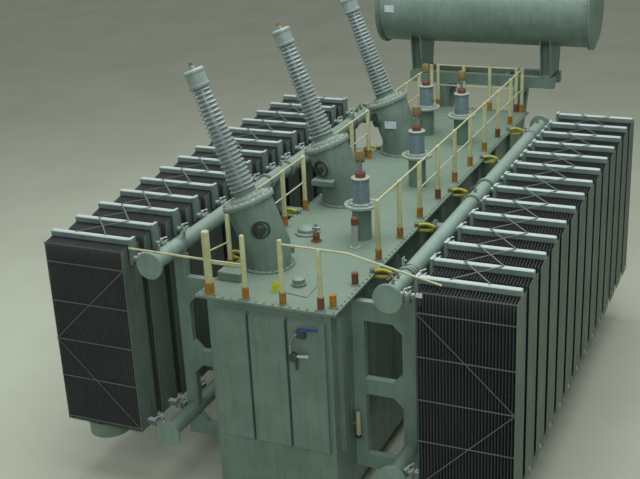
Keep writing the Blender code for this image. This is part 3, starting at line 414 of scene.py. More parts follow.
class Form:
    """One piece in the making: closed shapes gathered in one mesh, each with its finish."""

    def __init__(self, name: str, place: Matrix | None = None) -> None:
        """Start an empty piece whose shapes are carried by place."""
        self.name = name
        self.mesh = bmesh.new()
        self.place = place.copy() if place else Matrix.Identity(4)
        self.finishes: list[Finish] = []

    def slot(self, finish: Finish) -> int:
        """Give the number of a finish, adding it when it is new."""
        if finish not in self.finishes:
            self.finishes.append(finish)
        return self.finishes.index(finish)

    def skin(self, rings: Sequence[Sequence[Point]], finish: Finish, hoop: bool = False) -> None:
        """Join rings into one closed skin.

        Args:
            rings: rings with the same number of points, or with one point for a pole.
            finish: what the skin is made of.
            hoop: whether the last ring joins the first, in place of a cap on each.
        """
        number = self.slot(finish)
        loops = [[self.mesh.verts.new(self.place @ Vector(point)) for point in ring] for ring in rings]
        for low, high in zip(loops, loops[1:] + loops[:hoop]):
            for index in range(max(len(low), len(high))):
                after = index + 1
                corners = (low[index % len(low)], low[after % len(low)],
                           high[after % len(high)], high[index % len(high)])
                self.mesh.faces.new(list(dict.fromkeys(corners))).material_index = number
        for loop in (loops[0], loops[-1]):
            if len(loop) > 2 and not hoop:
                self.mesh.faces.new(loop).material_index = number

    def block(self, low: Point, high: Point, finish: Finish, ease: float = 0.0) -> None:
        """Add a box between two corners with its edges eased by a chamfer."""
        def loop(inset: float, level: float) -> list[tuple[float, float, float]]:
            """Give the outline at a level, with cut corners; without an ease they fall together."""
            left, front, right, back = (low[0] + inset, low[1] + inset, high[0] - inset, high[1] - inset)
            outline = ((left + ease, front), (right - ease, front), (right, front + ease),
                       (right, back - ease), (right - ease, back), (left + ease, back),
                       (left, back - ease), (left, front + ease))
            return [(x, y, level) for x, y in dict.fromkeys(outline)]
        levels = [(0.0, low[2]), (0.0, high[2])]
        if ease:
            levels = [(ease, low[2]), (0.0, low[2] + ease), (0.0, high[2] - ease), (ease, high[2])]
        self.skin([loop(inset, level) for inset, level in levels], finish)

    def bar(self, start: Point, end: Point, width: float, thickness: float, finish: Finish,
            over: Point = Z_AXIS) -> None:
        """Add a straight flat bar; its thickness lies along over and its width across."""
        run = (Vector(end) - Vector(start)).normalized()
        across = run.cross(Vector(over)).normalized() * width / 2
        rise = across.cross(run).normalized() * thickness / 2
        corners = (across + rise, rise - across, -across - rise, across - rise)
        self.skin([[Vector(point) + corner for corner in corners] for point in (start, end)], finish)

    def turned(self, profile: Profile, place: Matrix, finish: Finish, sides: int = 32,
               hoop: bool = False) -> None:
        """Turn a profile of (radius, height) pairs about place's Z axis, into a hoop if it is closed."""
        self.skin([[place @ (spoke + up(height)) for spoke in spokes(radius, sides if radius > 0.0 else 1)]
                   for radius, height in profile], finish, hoop)

    def lathe(self, place: Matrix, parts: Iterable[tuple[Finish, int, Profile]]) -> None:
        """Turn several profiles about one axis, each with its finish and number of sides."""
        for finish, sides, profile in parts:
            self.turned(profile, place, finish, sides)

    def rod(self, start: Point, end: Point, radius: float, finish: Finish, sides: int = 24,
            ease: float = 0.0) -> None:
        """Add a round bar or disc from start to end with eased rims."""
        run = Vector(end) - Vector(start)
        profile = [(radius, 0.0), (radius, run.length)]
        if ease:
            profile = [(radius - ease, 0.0), (radius, ease), (radius, run.length - ease),
                       (radius - ease, run.length)]
        self.turned(profile, aim(start, run), finish, sides)

    def pipe(self, points: Sequence[Point], radius: float, finish: Finish, sides: int = 16) -> None:
        """Sweep a round section along a path with mitred corners."""
        path = [Vector(point) for point in points]
        runs = [(after - before).normalized() for before, after in zip(path, path[1:])]
        across = runs[0].orthogonal().normalized()
        rings = []
        for point, before, after in zip(path, runs[:1] + runs, runs + runs[-1:]):
            normal = (before + after).normalized()
            other = before.cross(across)
            ring = []
            for spoke in spokes(1.0, sides):
                reach = across * spoke.x + other * spoke.y
                reach -= before * (reach.dot(normal) / before.dot(normal))
                ring.append(point + reach * radius)
            rings.append(ring)
            across = before.rotation_difference(after) @ across
        self.skin(rings, finish)

    def adopt(self, mesh: bpy.types.Mesh, finish: Finish, place: Matrix | None = None) -> None:
        """Take in a mesh that a Geometry Nodes tree has made, and remove the original."""
        number = self.slot(finish)
        vertex_count, face_count = len(self.mesh.verts), len(self.mesh.faces)
        self.mesh.from_mesh(mesh)
        self.mesh.verts.ensure_lookup_table()
        self.mesh.faces.ensure_lookup_table()
        bmesh.ops.transform(self.mesh, matrix=self.place @ (place or Matrix.Identity(4)),
                            verts=self.mesh.verts[vertex_count:])
        for face in self.mesh.faces[face_count:]:
            face.material_index = number
        bpy.data.meshes.remove(mesh)

    def to_mesh(self) -> bpy.types.Mesh:
        """Turn the faces outwards, mark the sharp edges and return the plain mesh."""
        bmesh.ops.recalc_face_normals(self.mesh, faces=self.mesh.faces)
        for face in self.mesh.faces:
            face.smooth = True
        for edge in self.mesh.edges:
            edge.smooth = len(edge.link_faces) == 2 and edge.calc_face_angle(math.pi) < SHARP_ANGLE
        mesh = bpy.data.meshes.new(self.name)
        self.mesh.to_mesh(mesh)
        self.mesh.free()
        for finish in self.finishes:
            mesh.materials.append(finish.material())
        return mesh


def set_piece(name: str, mesh: bpy.types.Mesh, *nodes: str) -> bpy.types.Object:
    """Put a finished mesh in the scene as one piece.

    Args:
        name: the piece's name.
        mesh: its mesh, with its place in it.
        nodes: the CAD nodes that it stands for.

    Returns:
        The piece, which rides on the body of the part.
    """
    mesh.name = name
    piece = bpy.data.objects.new(name, mesh)
    bpy.context.scene.collection.objects.link(piece)
    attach(piece, "root")
    if nodes:
        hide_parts(*nodes)
    mesh.calc_loop_triangles()
    LOG.info("%s: %d triangles", name, len(mesh.loop_triangles))
    return piece


class RepeatTree:
    """A Geometry Nodes tree that sets copies of one part and joins them into one mesh."""

    def __init__(self, name: str) -> None:
        """Start a tree whose inputs are the part to copy and its finish."""
        self.group = bpy.data.node_groups.new(name, "GeometryNodeTree")
        self.group.interface.new_socket("Geometry", in_out="OUTPUT", socket_type="NodeSocketGeometry")
        self.sockets: dict[str, str] = {}
        self.entry = self.group.nodes.new("NodeGroupInput")
        self.geometry = self.ask("Geometry", "NodeSocketGeometry")
        source = self.ask("Part", "NodeSocketObject")
        self.part = add_node(self.group, "GeometryNodeObjectInfo", {"Object": source}).outputs["Geometry"]
        self.finish = self.ask("Finish", "NodeSocketMaterial")

    def ask(self, name: str, kind: str) -> bpy.types.NodeSocket:
        """Add a named input and return the socket that gives its value."""
        self.sockets[name] = self.group.interface.new_socket(name, in_out="INPUT",
                                                             socket_type=kind).identifier
        return self.entry.outputs[name]

    def close(self, points: bpy.types.NodeSocket, **turns: bpy.types.NodeSocket) -> None:
        """End the tree: set a copy on each point, realize the copies and give them their material."""
        copies = add_node(self.group, "GeometryNodeInstanceOnPoints",
                          {"Points": points, "Instance": self.part, **turns})
        joined = add_node(self.group, "GeometryNodeRealizeInstances",
                          {"Geometry": copies.outputs["Instances"]})
        painted = add_node(self.group, "GeometryNodeSetMaterial",
                           {"Geometry": joined.outputs["Geometry"], "Material": self.finish})
        add_node(self.group, "NodeGroupOutput", {0: painted.outputs["Geometry"]})

    def grow(self, host: bpy.types.Mesh, part: bpy.types.Mesh, finish: Finish,
             sizes: Mapping[str, Any]) -> bpy.types.Mesh:
        """Run the tree and return its result as a plain mesh.

        Args:
            host: the mesh that the tree starts from.
            part: the mesh that is copied; it is removed afterwards.
            finish: what the copies are made of.
            sizes: the values of the tree's other inputs by name.

        Returns:
            One mesh with all the copies.
        """
        source = bpy.data.objects.new("source", part)
        carrier = bpy.data.objects.new("carrier", host)
        for item in (source, carrier):
            bpy.context.scene.collection.objects.link(item)
        modifier = carrier.modifiers.new("Repeat", "NODES")
        modifier.node_group = self.group
        for name, value in {"Part": source, "Finish": finish.material(), **sizes}.items():
            modifier[self.sockets[name]] = value
        graph = bpy.context.evaluated_depsgraph_get()
        mesh = bpy.data.meshes.new_from_object(carrier.evaluated_get(graph))
        carrier.modifiers.remove(modifier)
        for item in (source, carrier):
            bpy.data.objects.remove(item, do_unlink=True)
        for spent in (host, part):
            bpy.data.meshes.remove(spent)
        return mesh


class LineTree(RepeatTree):
    """Copies of a part at one pitch along a straight line."""

    def __init__(self) -> None:
        """Build the tree: a line of points, and a copy on each."""
        super().__init__("copies_on_a_line")
        line = add_node(self.group, "GeometryNodeMeshLine",
                        {"Count": self.ask("Count", "NodeSocketInt"),
                         "Start Location": self.ask("First", "NodeSocketVector"),
                         "Offset": self.ask("Step", "NodeSocketVector")})
        self.close(line.outputs["Mesh"])

    def row(self, part: bpy.types.Mesh, count: int, first: Point, step: Point,
            finish: Finish) -> bpy.types.Mesh:
        """Return count copies of a part from first onwards, one step apart."""
        return self.grow(bpy.data.meshes.new("line"), part, finish,
                         {"Count": count, "First": list(first), "Step": list(step)})


class TaperTree(RepeatTree):
    """Copies of a ring stacked up an axis, narrowing from the lowest to the highest."""

    def __init__(self) -> None:
        """Build the tree: a line up Z, whose points shrink the ring by their share of the height."""
        super().__init__("rings_on_a_taper")
        count = self.ask("Count", "NodeSocketInt")
        names = ("Pitch", "Low Radius", "High Radius")
        pitch, low, high = (self.ask(name, "NodeSocketFloat") for name in names)
        step = add_node(self.group, "ShaderNodeCombineXYZ", {"Z": pitch})
        line = add_node(self.group, "GeometryNodeMeshLine",
                        {"Count": count, "Offset": step.outputs["Vector"]})
        last = add_node(self.group, "ShaderNodeMath", {0: count, 1: 1.0}, operation="SUBTRACT")
        radius = add_node(self.group, "ShaderNodeMapRange",
                          {"Value": add_node(self.group, "GeometryNodeInputIndex").outputs["Index"],
                           "From Max": last.outputs["Value"], "To Min": low, "To Max": high})
        size = add_node(self.group, "ShaderNodeCombineXYZ",
                        {"X": radius.outputs["Result"], "Y": radius.outputs["Result"], "Z": 1.0})
        self.close(line.outputs["Mesh"], Scale=size.outputs["Vector"])

    def stack(self, part: bpy.types.Mesh, count: int, pitch: float, low: float, high: float,
              finish: Finish) -> bpy.types.Mesh:
        """Return a stack of rings of unit radius, narrowed from low to high."""
        return self.grow(bpy.data.meshes.new("axis"), part, finish,
                         {"Count": count, "Pitch": pitch, "Low Radius": low, "High Radius": high})


class FastenerTree(RepeatTree):
    """Copies of a bolt at marked points, each along its own axis and turned by chance."""

    def __init__(self) -> None:
        """Build the tree: each point's axis turns its bolt, and a seed spins it."""
        super().__init__("bolts_at_points")
        scale = self.ask("Scale", "NodeSocketFloat")
        seed = self.ask("Seed", "NodeSocketInt")
        axis = add_node(self.group, "GeometryNodeInputNamedAttribute", {"Name": "axis"},
                        data_type="FLOAT_VECTOR")
        spin = add_node(self.group, "FunctionNodeRandomValue", {2: 0.0, 3: math.pi / 3, "Seed": seed},
                        data_type="FLOAT")
        turn = add_node(self.group, "ShaderNodeCombineXYZ", {"Z": spin.outputs[1]})
        aimed = add_node(self.group, "FunctionNodeAlignRotationToVector",
                         {"Rotation": turn.outputs["Vector"], "Vector": axis.outputs["Attribute"]},
                         axis="Z")
        self.close(self.geometry, Rotation=aimed.outputs["Rotation"], Scale=scale)

    def set_bolts(self, form: Form, points: Sequence[Point], axis: Point, size: float,
                  finish: Finish, seed: int) -> None:
        """Set hexagon heads on washers.

        Args:
            form: the piece that gets them.
            points: where the bolts stand.
            axis: which way they point.
            size: the unit of a bolt, whose head is one wide across its corners.
            finish: what they are made of.
            seed: the seed of the chance turn.
        """
        host = bpy.data.meshes.new("marks")
        host.from_pydata([tuple(point) for point in points], [], [])
        axes = host.attributes.new("axis", "FLOAT_VECTOR", "POINT")
        axes.data.foreach_set("vector", list(axis) * len(points))
        head = Form("bolt")
        head.lathe(Matrix.Identity(4), ((finish, 10, [(0.62, -0.1), (0.62, 0.12)]),
                                        (finish, 6, [(0.5, 0.1), (0.5, 0.42), (0.42, 0.5)])))
        form.adopt(self.grow(host, head.to_mesh(), finish, {"Scale": size, "Seed": seed}), finish)


class Workshop:
    """Holds the three repeat trees that the sub-assemblies share."""

    def __init__(self) -> None:
        """Build each tree once."""
        self.lines = LineTree()
        self.tapers = TaperTree()
        self.fasteners = FastenerTree()

    def bolt_ring(self, form: Form, centre: Point, axis: Point, radius: float, count: int,
                  size: float, finish: Finish = ZINC) -> None:
        """Set a ring of bolts of a size on a flange, count of them on a circle of that radius."""
        place = aim(centre, axis)
        points = [place @ spoke for spoke in spokes(radius, count, 0.5)]
        self.fasteners.set_bolts(form, points, axis, size, finish, count)

    def bolt_row(self, form: Form, start: Point, end: Point, pitch: float, size: float) -> None:
        """Set upright bolts along a line from start to end, about pitch apart."""
        first = Vector(start)
        run = Vector(end) - first
        count = max(1, round(run.length / pitch))
        points = [first + run * index / count for index in range(count + 1)]
        self.fasteners.set_bolts(form, points, Z_AXIS, size, ZINC, count)


@dataclass
class RadiatorBank:
    """One bank of fourteen radiators in seven pairs, drawn as the right-hand one."""

    shop: Workshop
    side: Side
    pairs: int = 7
    pitch: float = 0.65
    first_y: float = -5.87
    inner_x: float = 2.311
    outer_x: float = 3.751
    stub_x: float = 2.0305
    header_half: float = 0.05
    header_ease: float = 0.012
    plug: float = 0.013
    panel_count: int = 31
    panel_reach: float = 0.253
    panel_half: float = 0.006
    seam_half: float = 0.0016
    seam_width: float = 0.012
    toe: float = 1.044
    shoulder: float = 4.165
    apex: float = 4.206
    apex_half: float = 0.02
    flute_count: int = 7
    flute_pitch: float = 0.068
    flute_steps: tuple[float, ...] = (0.007, 0.016, 0.052, 0.061)
    brace_ends: tuple[float, float] = (2.741, 3.301)
    brace_lifts: tuple[float, float] = (0.010, 0.017)
    flat_width: float = 0.020
    face_reach: float = 0.26
    tie_levels: tuple[float, ...] = (4.175, 3.866, 3.20, 2.53, 1.87, 1.12)
    tie_thickness: float = 0.0036
    stay_width: float = 0.015
    stay_thickness: float = 0.0034

    def panel_top(self, y: float) -> float:
        """Give the height of a panel's sloping shoulder at a distance from its middle."""
        share = max(0.0, abs(y) - self.apex_half) / (self.panel_reach - self.apex_half)
        return self.apex + (self.shoulder - self.apex) * share

    def panel(self, fluted: bool) -> bpy.types.Mesh:
        """Build one pressed panel at x = 0: a flat seam all round and a hollow body, fluted or plain."""
        lip = self.panel_reach - self.seam_width
        body = lip - self.seam_width
        middle = [(-self.apex_half, True), (self.apex_half, True)]
        if fluted:
            first = -self.flute_pitch * self.flute_count / 2
            middle = [(first + self.flute_pitch * index + step, step in self.flute_steps[1:3])
                      for index in range(self.flute_count) for step in self.flute_steps]
        half = [(-self.panel_reach, False), (-lip, False), (-body, True), *middle, (body, True),
                (lip, False), (self.panel_reach, False)]
        loop = [(y, -1, full) for y, full in half] + [(y, 1, full) for y, full in reversed(half)]
        rings = [[(sign * (self.panel_half if full and swollen else self.seam_half), y,
                   level + (self.panel_top(y) if from_top else 0.0)) for y, sign, full in loop]
                 for level, swollen, from_top in ((self.toe, False, False), (self.toe + 0.022, True, False),
                                                  (-0.03, True, True), (0.0, False, True))]
        form = Form("panel")
        # Plain panels take the painted-shade enamel; the fluted end panels keep the radiator enamel
        form.skin(rings, RADIATOR_ENAMEL if fluted else PAINTED_SHADE_RADIATOR_ENAMEL)
        return form.to_mesh()

    def panels(self, form: Form, y: float) -> None:
        """Set the comb of one radiator: plain panels, with a fluted one at either end."""
        first = self.inner_x + 0.03
        last = self.outer_x - self.plug - 0.012
        step = (last - first) / (self.panel_count - 1)
        for fluted, count, start, gap in ((False, self.panel_count - 2, first + step, step),
                                          (True, 2, first, last - first)):
            # The plain panels inside the comb are painted with the painted-shade enamel
            finish = RADIATOR_ENAMEL if fluted else PAINTED_SHADE_RADIATOR_ENAMEL
            form.adopt(self.shop.lines.row(self.panel(fluted), count, (start, y, 0.0), (gap, 0.0, 0.0),
                                           finish), finish)

    def headers(self, form: Form, y: float) -> None:
        """Add the two square headers of one radiator with their end plugs."""
        half, end = self.header_half, self.outer_x - self.plug
        for level, start in ((HEADER_LEVEL, self.inner_x - 0.03),
                             (LOWER_HEADER_LEVEL, self.stub_x + 0.0008)):
            form.block((start, y - half, level - half), (end, y + half, level + half), HEADER_ENAMEL,
                       self.header_ease)
        form.rod((end, y, LOWER_HEADER_LEVEL), (self.outer_x, y, LOWER_HEADER_LEVEL), 0.022,
                 CAST_ALUMINIUM, 6)

    def valve(self, form: Form, y: float) -> None:
        """Add the riser plate and, above and below, a stub with its butterfly valve and lever."""
        back = self.inner_x - 0.05
        form.block((back, y - 0.08, HEADER_LEVEL - 0.36), (self.inner_x, y + 0.08, HEADER_LEVEL + 0.07),
                   HEADER_ENAMEL, 0.008)
        for level, bore in ((UPPER_COLLECTOR_LEVEL, 0.052), (LOWER_HEADER_LEVEL, 0.05)):
            for start, end, radius, finish, ease in (
                    (self.stub_x, back + 0.01, bore, HEADER_ENAMEL, 0.0),
                    (2.075, 2.095, 0.088, HEADER_ENAMEL, 0.003), (2.165, 2.185, 0.088, HEADER_ENAMEL, 0.003),
                    (2.098, 2.162, 0.072, CAST_ALUMINIUM, 0.004)):
                form.rod((start, y, level), (end, y, level), radius, finish, 20, ease)
            form.rod((2.13, y, level + 0.06), (2.13, y, level + 0.125), 0.012, ZINC, 8)
            form.bar((2.10, y - 0.05, level + 0.118), (2.16, y + 0.06, level + 0.118), 0.026, 0.012,
                     MARK_WHITE)

    def ties(self, form: Form, y: float, inward: float) -> None:
        """Add the tie bars of an end face, just inward of the plane y, and two slanting stays over them."""
        inner, outer = self.inner_x + 0.02, self.outer_x - 0.02
        top, middle, foot = self.tie_levels[1], self.tie_levels[3], self.tie_levels[5]
        tie_y = y + inward * (self.tie_thickness / 2 + 0.0035)
        for level in self.tie_levels:
            form.bar((inner, tie_y, level), (outer, tie_y, level), self.flat_width, self.tie_thickness,
                     TIE_ENAMEL, (0.0, inward, 0.0))
        stay_y = y + inward * (self.stay_thickness / 2 + 0.0001)
        for start in (top, foot):
            form.bar((inner, stay_y, start), (outer, stay_y, middle), self.stay_width,
                     self.stay_thickness, TIE_ENAMEL, (0.0, inward, 0.0))

    def corner_box(self, form: Form, y: float) -> None:
        """Add a small black block with a pale cap at the inner top corner of a face."""
        for right, low, high, finish in ((2.42, 3.965, 4.085, BLACK_RUBBER),
                                         (2.43, 4.088, 4.15, MARK_WHITE)):
            form.block((2.335, y - 0.001, low), (right, y + 0.049, high), finish, 0.004)

    def braces(self, form: Form, y: float) -> None:
        """Add the crossed flats that lie on two neighbouring headers from y to y plus a pitch."""
        for lift, (start, end) in zip(self.brace_lifts, (self.brace_ends, self.brace_ends[::-1])):
            level = HEADER_LEVEL + self.header_half + lift
            form.bar((start, y, level), (end, y + self.pitch, level), self.flat_width, 0.006, TIE_ENAMEL)

    def pair_mesh(self) -> bpy.types.Mesh:
        """Build one pair with its first radiator at y = 0."""
        form = Form("radiator_pair")
        for y in (0.0, self.pitch):
            self.panels(form, y)
            self.headers(form, y)
            self.valve(form, y)
        self.braces(form, 0.0)
        return form.to_mesh()

    def build(self) -> None:
        """Set the seven pairs of the bank, the braces between them and the end ties."""
        template = self.pair_mesh()
        for index in range(self.pairs):
            name = "radiator_pair_{}_{}".format(self.side.value, index + 1)
            mesh = template.copy()
            along = index if self.side is Side.RIGHT else self.pairs - 1 - index
            shift = self.first_y + 2 * self.pitch * along
            mesh.transform(self.side.turn() @ at(0.0, shift, 0.0))
            piece = set_piece(name + "_panels", mesh, name)
        bpy.data.meshes.remove(template)
        form = Form("ties", self.side.turn())
        for index in range(1, self.pairs):
            self.braces(form, self.first_y + self.pitch * (2 * index - 1))
        last_y = self.first_y + self.pitch * (2 * self.pairs - 1)
        self.ties(form, self.first_y - self.face_reach, 1.0)
        self.corner_box(form, self.first_y - self.panel_reach)
        self.ties(form, last_y + self.face_reach, -1.0)
        piece = set_piece("radiator_ties_" + self.side.value, form.to_mesh())


@dataclass
class Collectors:
    """The upper and lower oil pipes of one side, with flanges, bolts and the branches to the tank."""

    shop: Workshop
    side: Side
    radius: float = 0.13
    flange_radius: float = 0.215
    front_y: float = -6.06
    rear_y: float = 2.77
    branch_radius: float = 0.10
    branch_drop: float = 0.674
    branch_bend: float = 0.17
    tee_half: float = 0.42
    spool_y: float = -5.27
    clamp_places: tuple[float, float] = (-5.14, 1.85)
    bolt: float = 0.026

    def joint(self, form: Form, y: float, level: float, starts: tuple[float, float], thickness: float,
              radius: float, sides: int, circle: float, bolt: float) -> None:
        """Add two ring flanges that face each other, with twelve bolts on either side.

        Args:
            form: the piece that gets them.
            y: the joint's place along the pipe.
            level: the height of the pipe.
            starts: where each flange begins, counted from y.
            thickness: how thick each is.
            radius: how far they reach from the pipe's middle.
            sides: how many sides their rims have.
            circle: the radius of the bolt circle.
            bolt: the size of the bolts.
        """
        for start in starts:
            form.rod((COLLECTOR_X, y + start, level), (COLLECTOR_X, y + start + thickness, level), radius,
                     COLLECTOR_PAINTED_LIGHT_ENAMEL, sides, 0.003)
        for outward, face in ((-1.0, y + starts[0]), (1.0, y + starts[1] + thickness)):
            self.shop.bolt_ring(form, (COLLECTOR_X, face, level), (0.0, outward, 0.0), circle, 12, bolt)

    def blank_end(self, form: Form, y: float, level: float, outward: float) -> None:
        """Add a blank flange and its mate at one end of a pipe, bolted through."""
        for near, far in ((0.0, 0.022), (0.026, 0.05)):
            form.rod((COLLECTOR_X, y - outward * near, level), (COLLECTOR_X, y - outward * far, level),
                     self.flange_radius, COLLECTOR_PAINTED_LIGHT_ENAMEL, 48, 0.004)
        self.shop.bolt_ring(form, (COLLECTOR_X, y - outward * 0.05, level), (0.0, -outward, 0.0), 0.185,
                            16, self.bolt)

    def clamp(self, form: Form, y: float, level: float) -> None:
        """Strap the pipe to the bracket at y, with an upright lug on top."""
        inner, outer, top = self.radius - 0.002, self.radius + 0.012, level + self.radius
        for shift in (-0.05, 0.03):
            form.turned([(inner, 0.0), (outer, 0.002), (outer, 0.02), (inner, 0.022)],
                        aim((COLLECTOR_X, y + shift, level), Y_AXIS), CAST_ALUMINIUM, 40)
        form.bar((COLLECTOR_X - 0.09, y, top - 0.02), (COLLECTOR_X - 0.09, y, top + 0.11), 0.012, 0.10,
                 FLANGE_ENAMEL, Y_AXIS)
        form.rod((COLLECTOR_X - 0.11, y, top + 0.07), (COLLECTOR_X - 0.04, y, top + 0.07), 0.014, ZINC, 10)

    def vent(self, form: Form, y: float, level: float) -> None:
        """Add a vent cock with its bent tail on top of the pipe."""
        top = level + self.radius
        form.rod((COLLECTOR_X, y, top - 0.01), (COLLECTOR_X, y, top + 0.05), 0.022, ZINC, 12, 0.003)
        form.pipe(rounded([(COLLECTOR_X, y, top + 0.04), (COLLECTOR_X, y, top + 0.12),
                           (COLLECTOR_X - 0.10, y + 0.03, top + 0.03)], 0.03), 0.009, CAST_ALUMINIUM, 8)
        form.rod((COLLECTOR_X - 0.03, y, top + 0.055), (COLLECTOR_X + 0.05, y, top + 0.055), 0.008,
                 BRASS, 8)

    def branch(self, form: Form, level: float, low: float) -> None:
        """Lead the branch from the pipe to the tank wall at the height low."""
        middle = BANKS_CENTRE_Y
        start, end = (COLLECTOR_X, middle, level), (TANK_WALL_X, middle, low)
        if low < level:
            path = rounded([start, (COLLECTOR_X, middle, low), end], self.branch_bend, 8)
            form.pipe(path, self.branch_radius, COLLECTOR_PAINTED_LIGHT_ENAMEL, 28)
        else:
            form.rod(start, end, self.branch_radius, COLLECTOR_PAINTED_LIGHT_ENAMEL, 28)

    def build(self) -> None:
        """Build both pipes of the side."""
        middle = BANKS_CENTRE_Y
        for name, level, drop in (("upper_collector_", UPPER_COLLECTOR_LEVEL, self.branch_drop),
                                  ("lower_collector_", LOWER_COLLECTOR_LEVEL, 0.0)):
            form = Form(name, self.side.turn())
            form.rod((COLLECTOR_X, self.front_y + 0.03, level), (COLLECTOR_X, self.rear_y - 0.03, level),
                     self.radius, COLLECTOR_PAINTED_LIGHT_ENAMEL, 40)
            self.blank_end(form, self.front_y, level, -1.0)
            self.blank_end(form, self.rear_y, level, 1.0)
            for y in (middle - self.tee_half, middle + self.tee_half):
                self.joint(form, y, level, (-0.026, 0.004), 0.022, 0.172, 48, 0.152, self.bolt)
            low = level - drop
            self.branch(form, level, low)
            if drop:
                for y in (self.front_y + 0.25, self.front_y + 0.45, middle - 0.2, self.rear_y - 0.30):
                    self.vent(form, y, level)
                for y in self.clamp_places:
                    self.clamp(form, y, level)
                self.joint(form, self.spool_y, level, (-0.014, 0.012), 0.02, 0.16, 44, 0.145, 0.024)
            for x in (1.10, 1.13):
                form.rod((x, middle, low), (x + 0.024, middle, low), 0.15, COLLECTOR_PAINTED_LIGHT_ENAMEL, 36, 0.003)
            self.shop.bolt_ring(form, (1.154, middle, low), X_AXIS, 0.128, 8, self.bolt)
            piece = set_piece(name + self.side.value + "_pipe", form.to_mesh(), name + self.side.value)


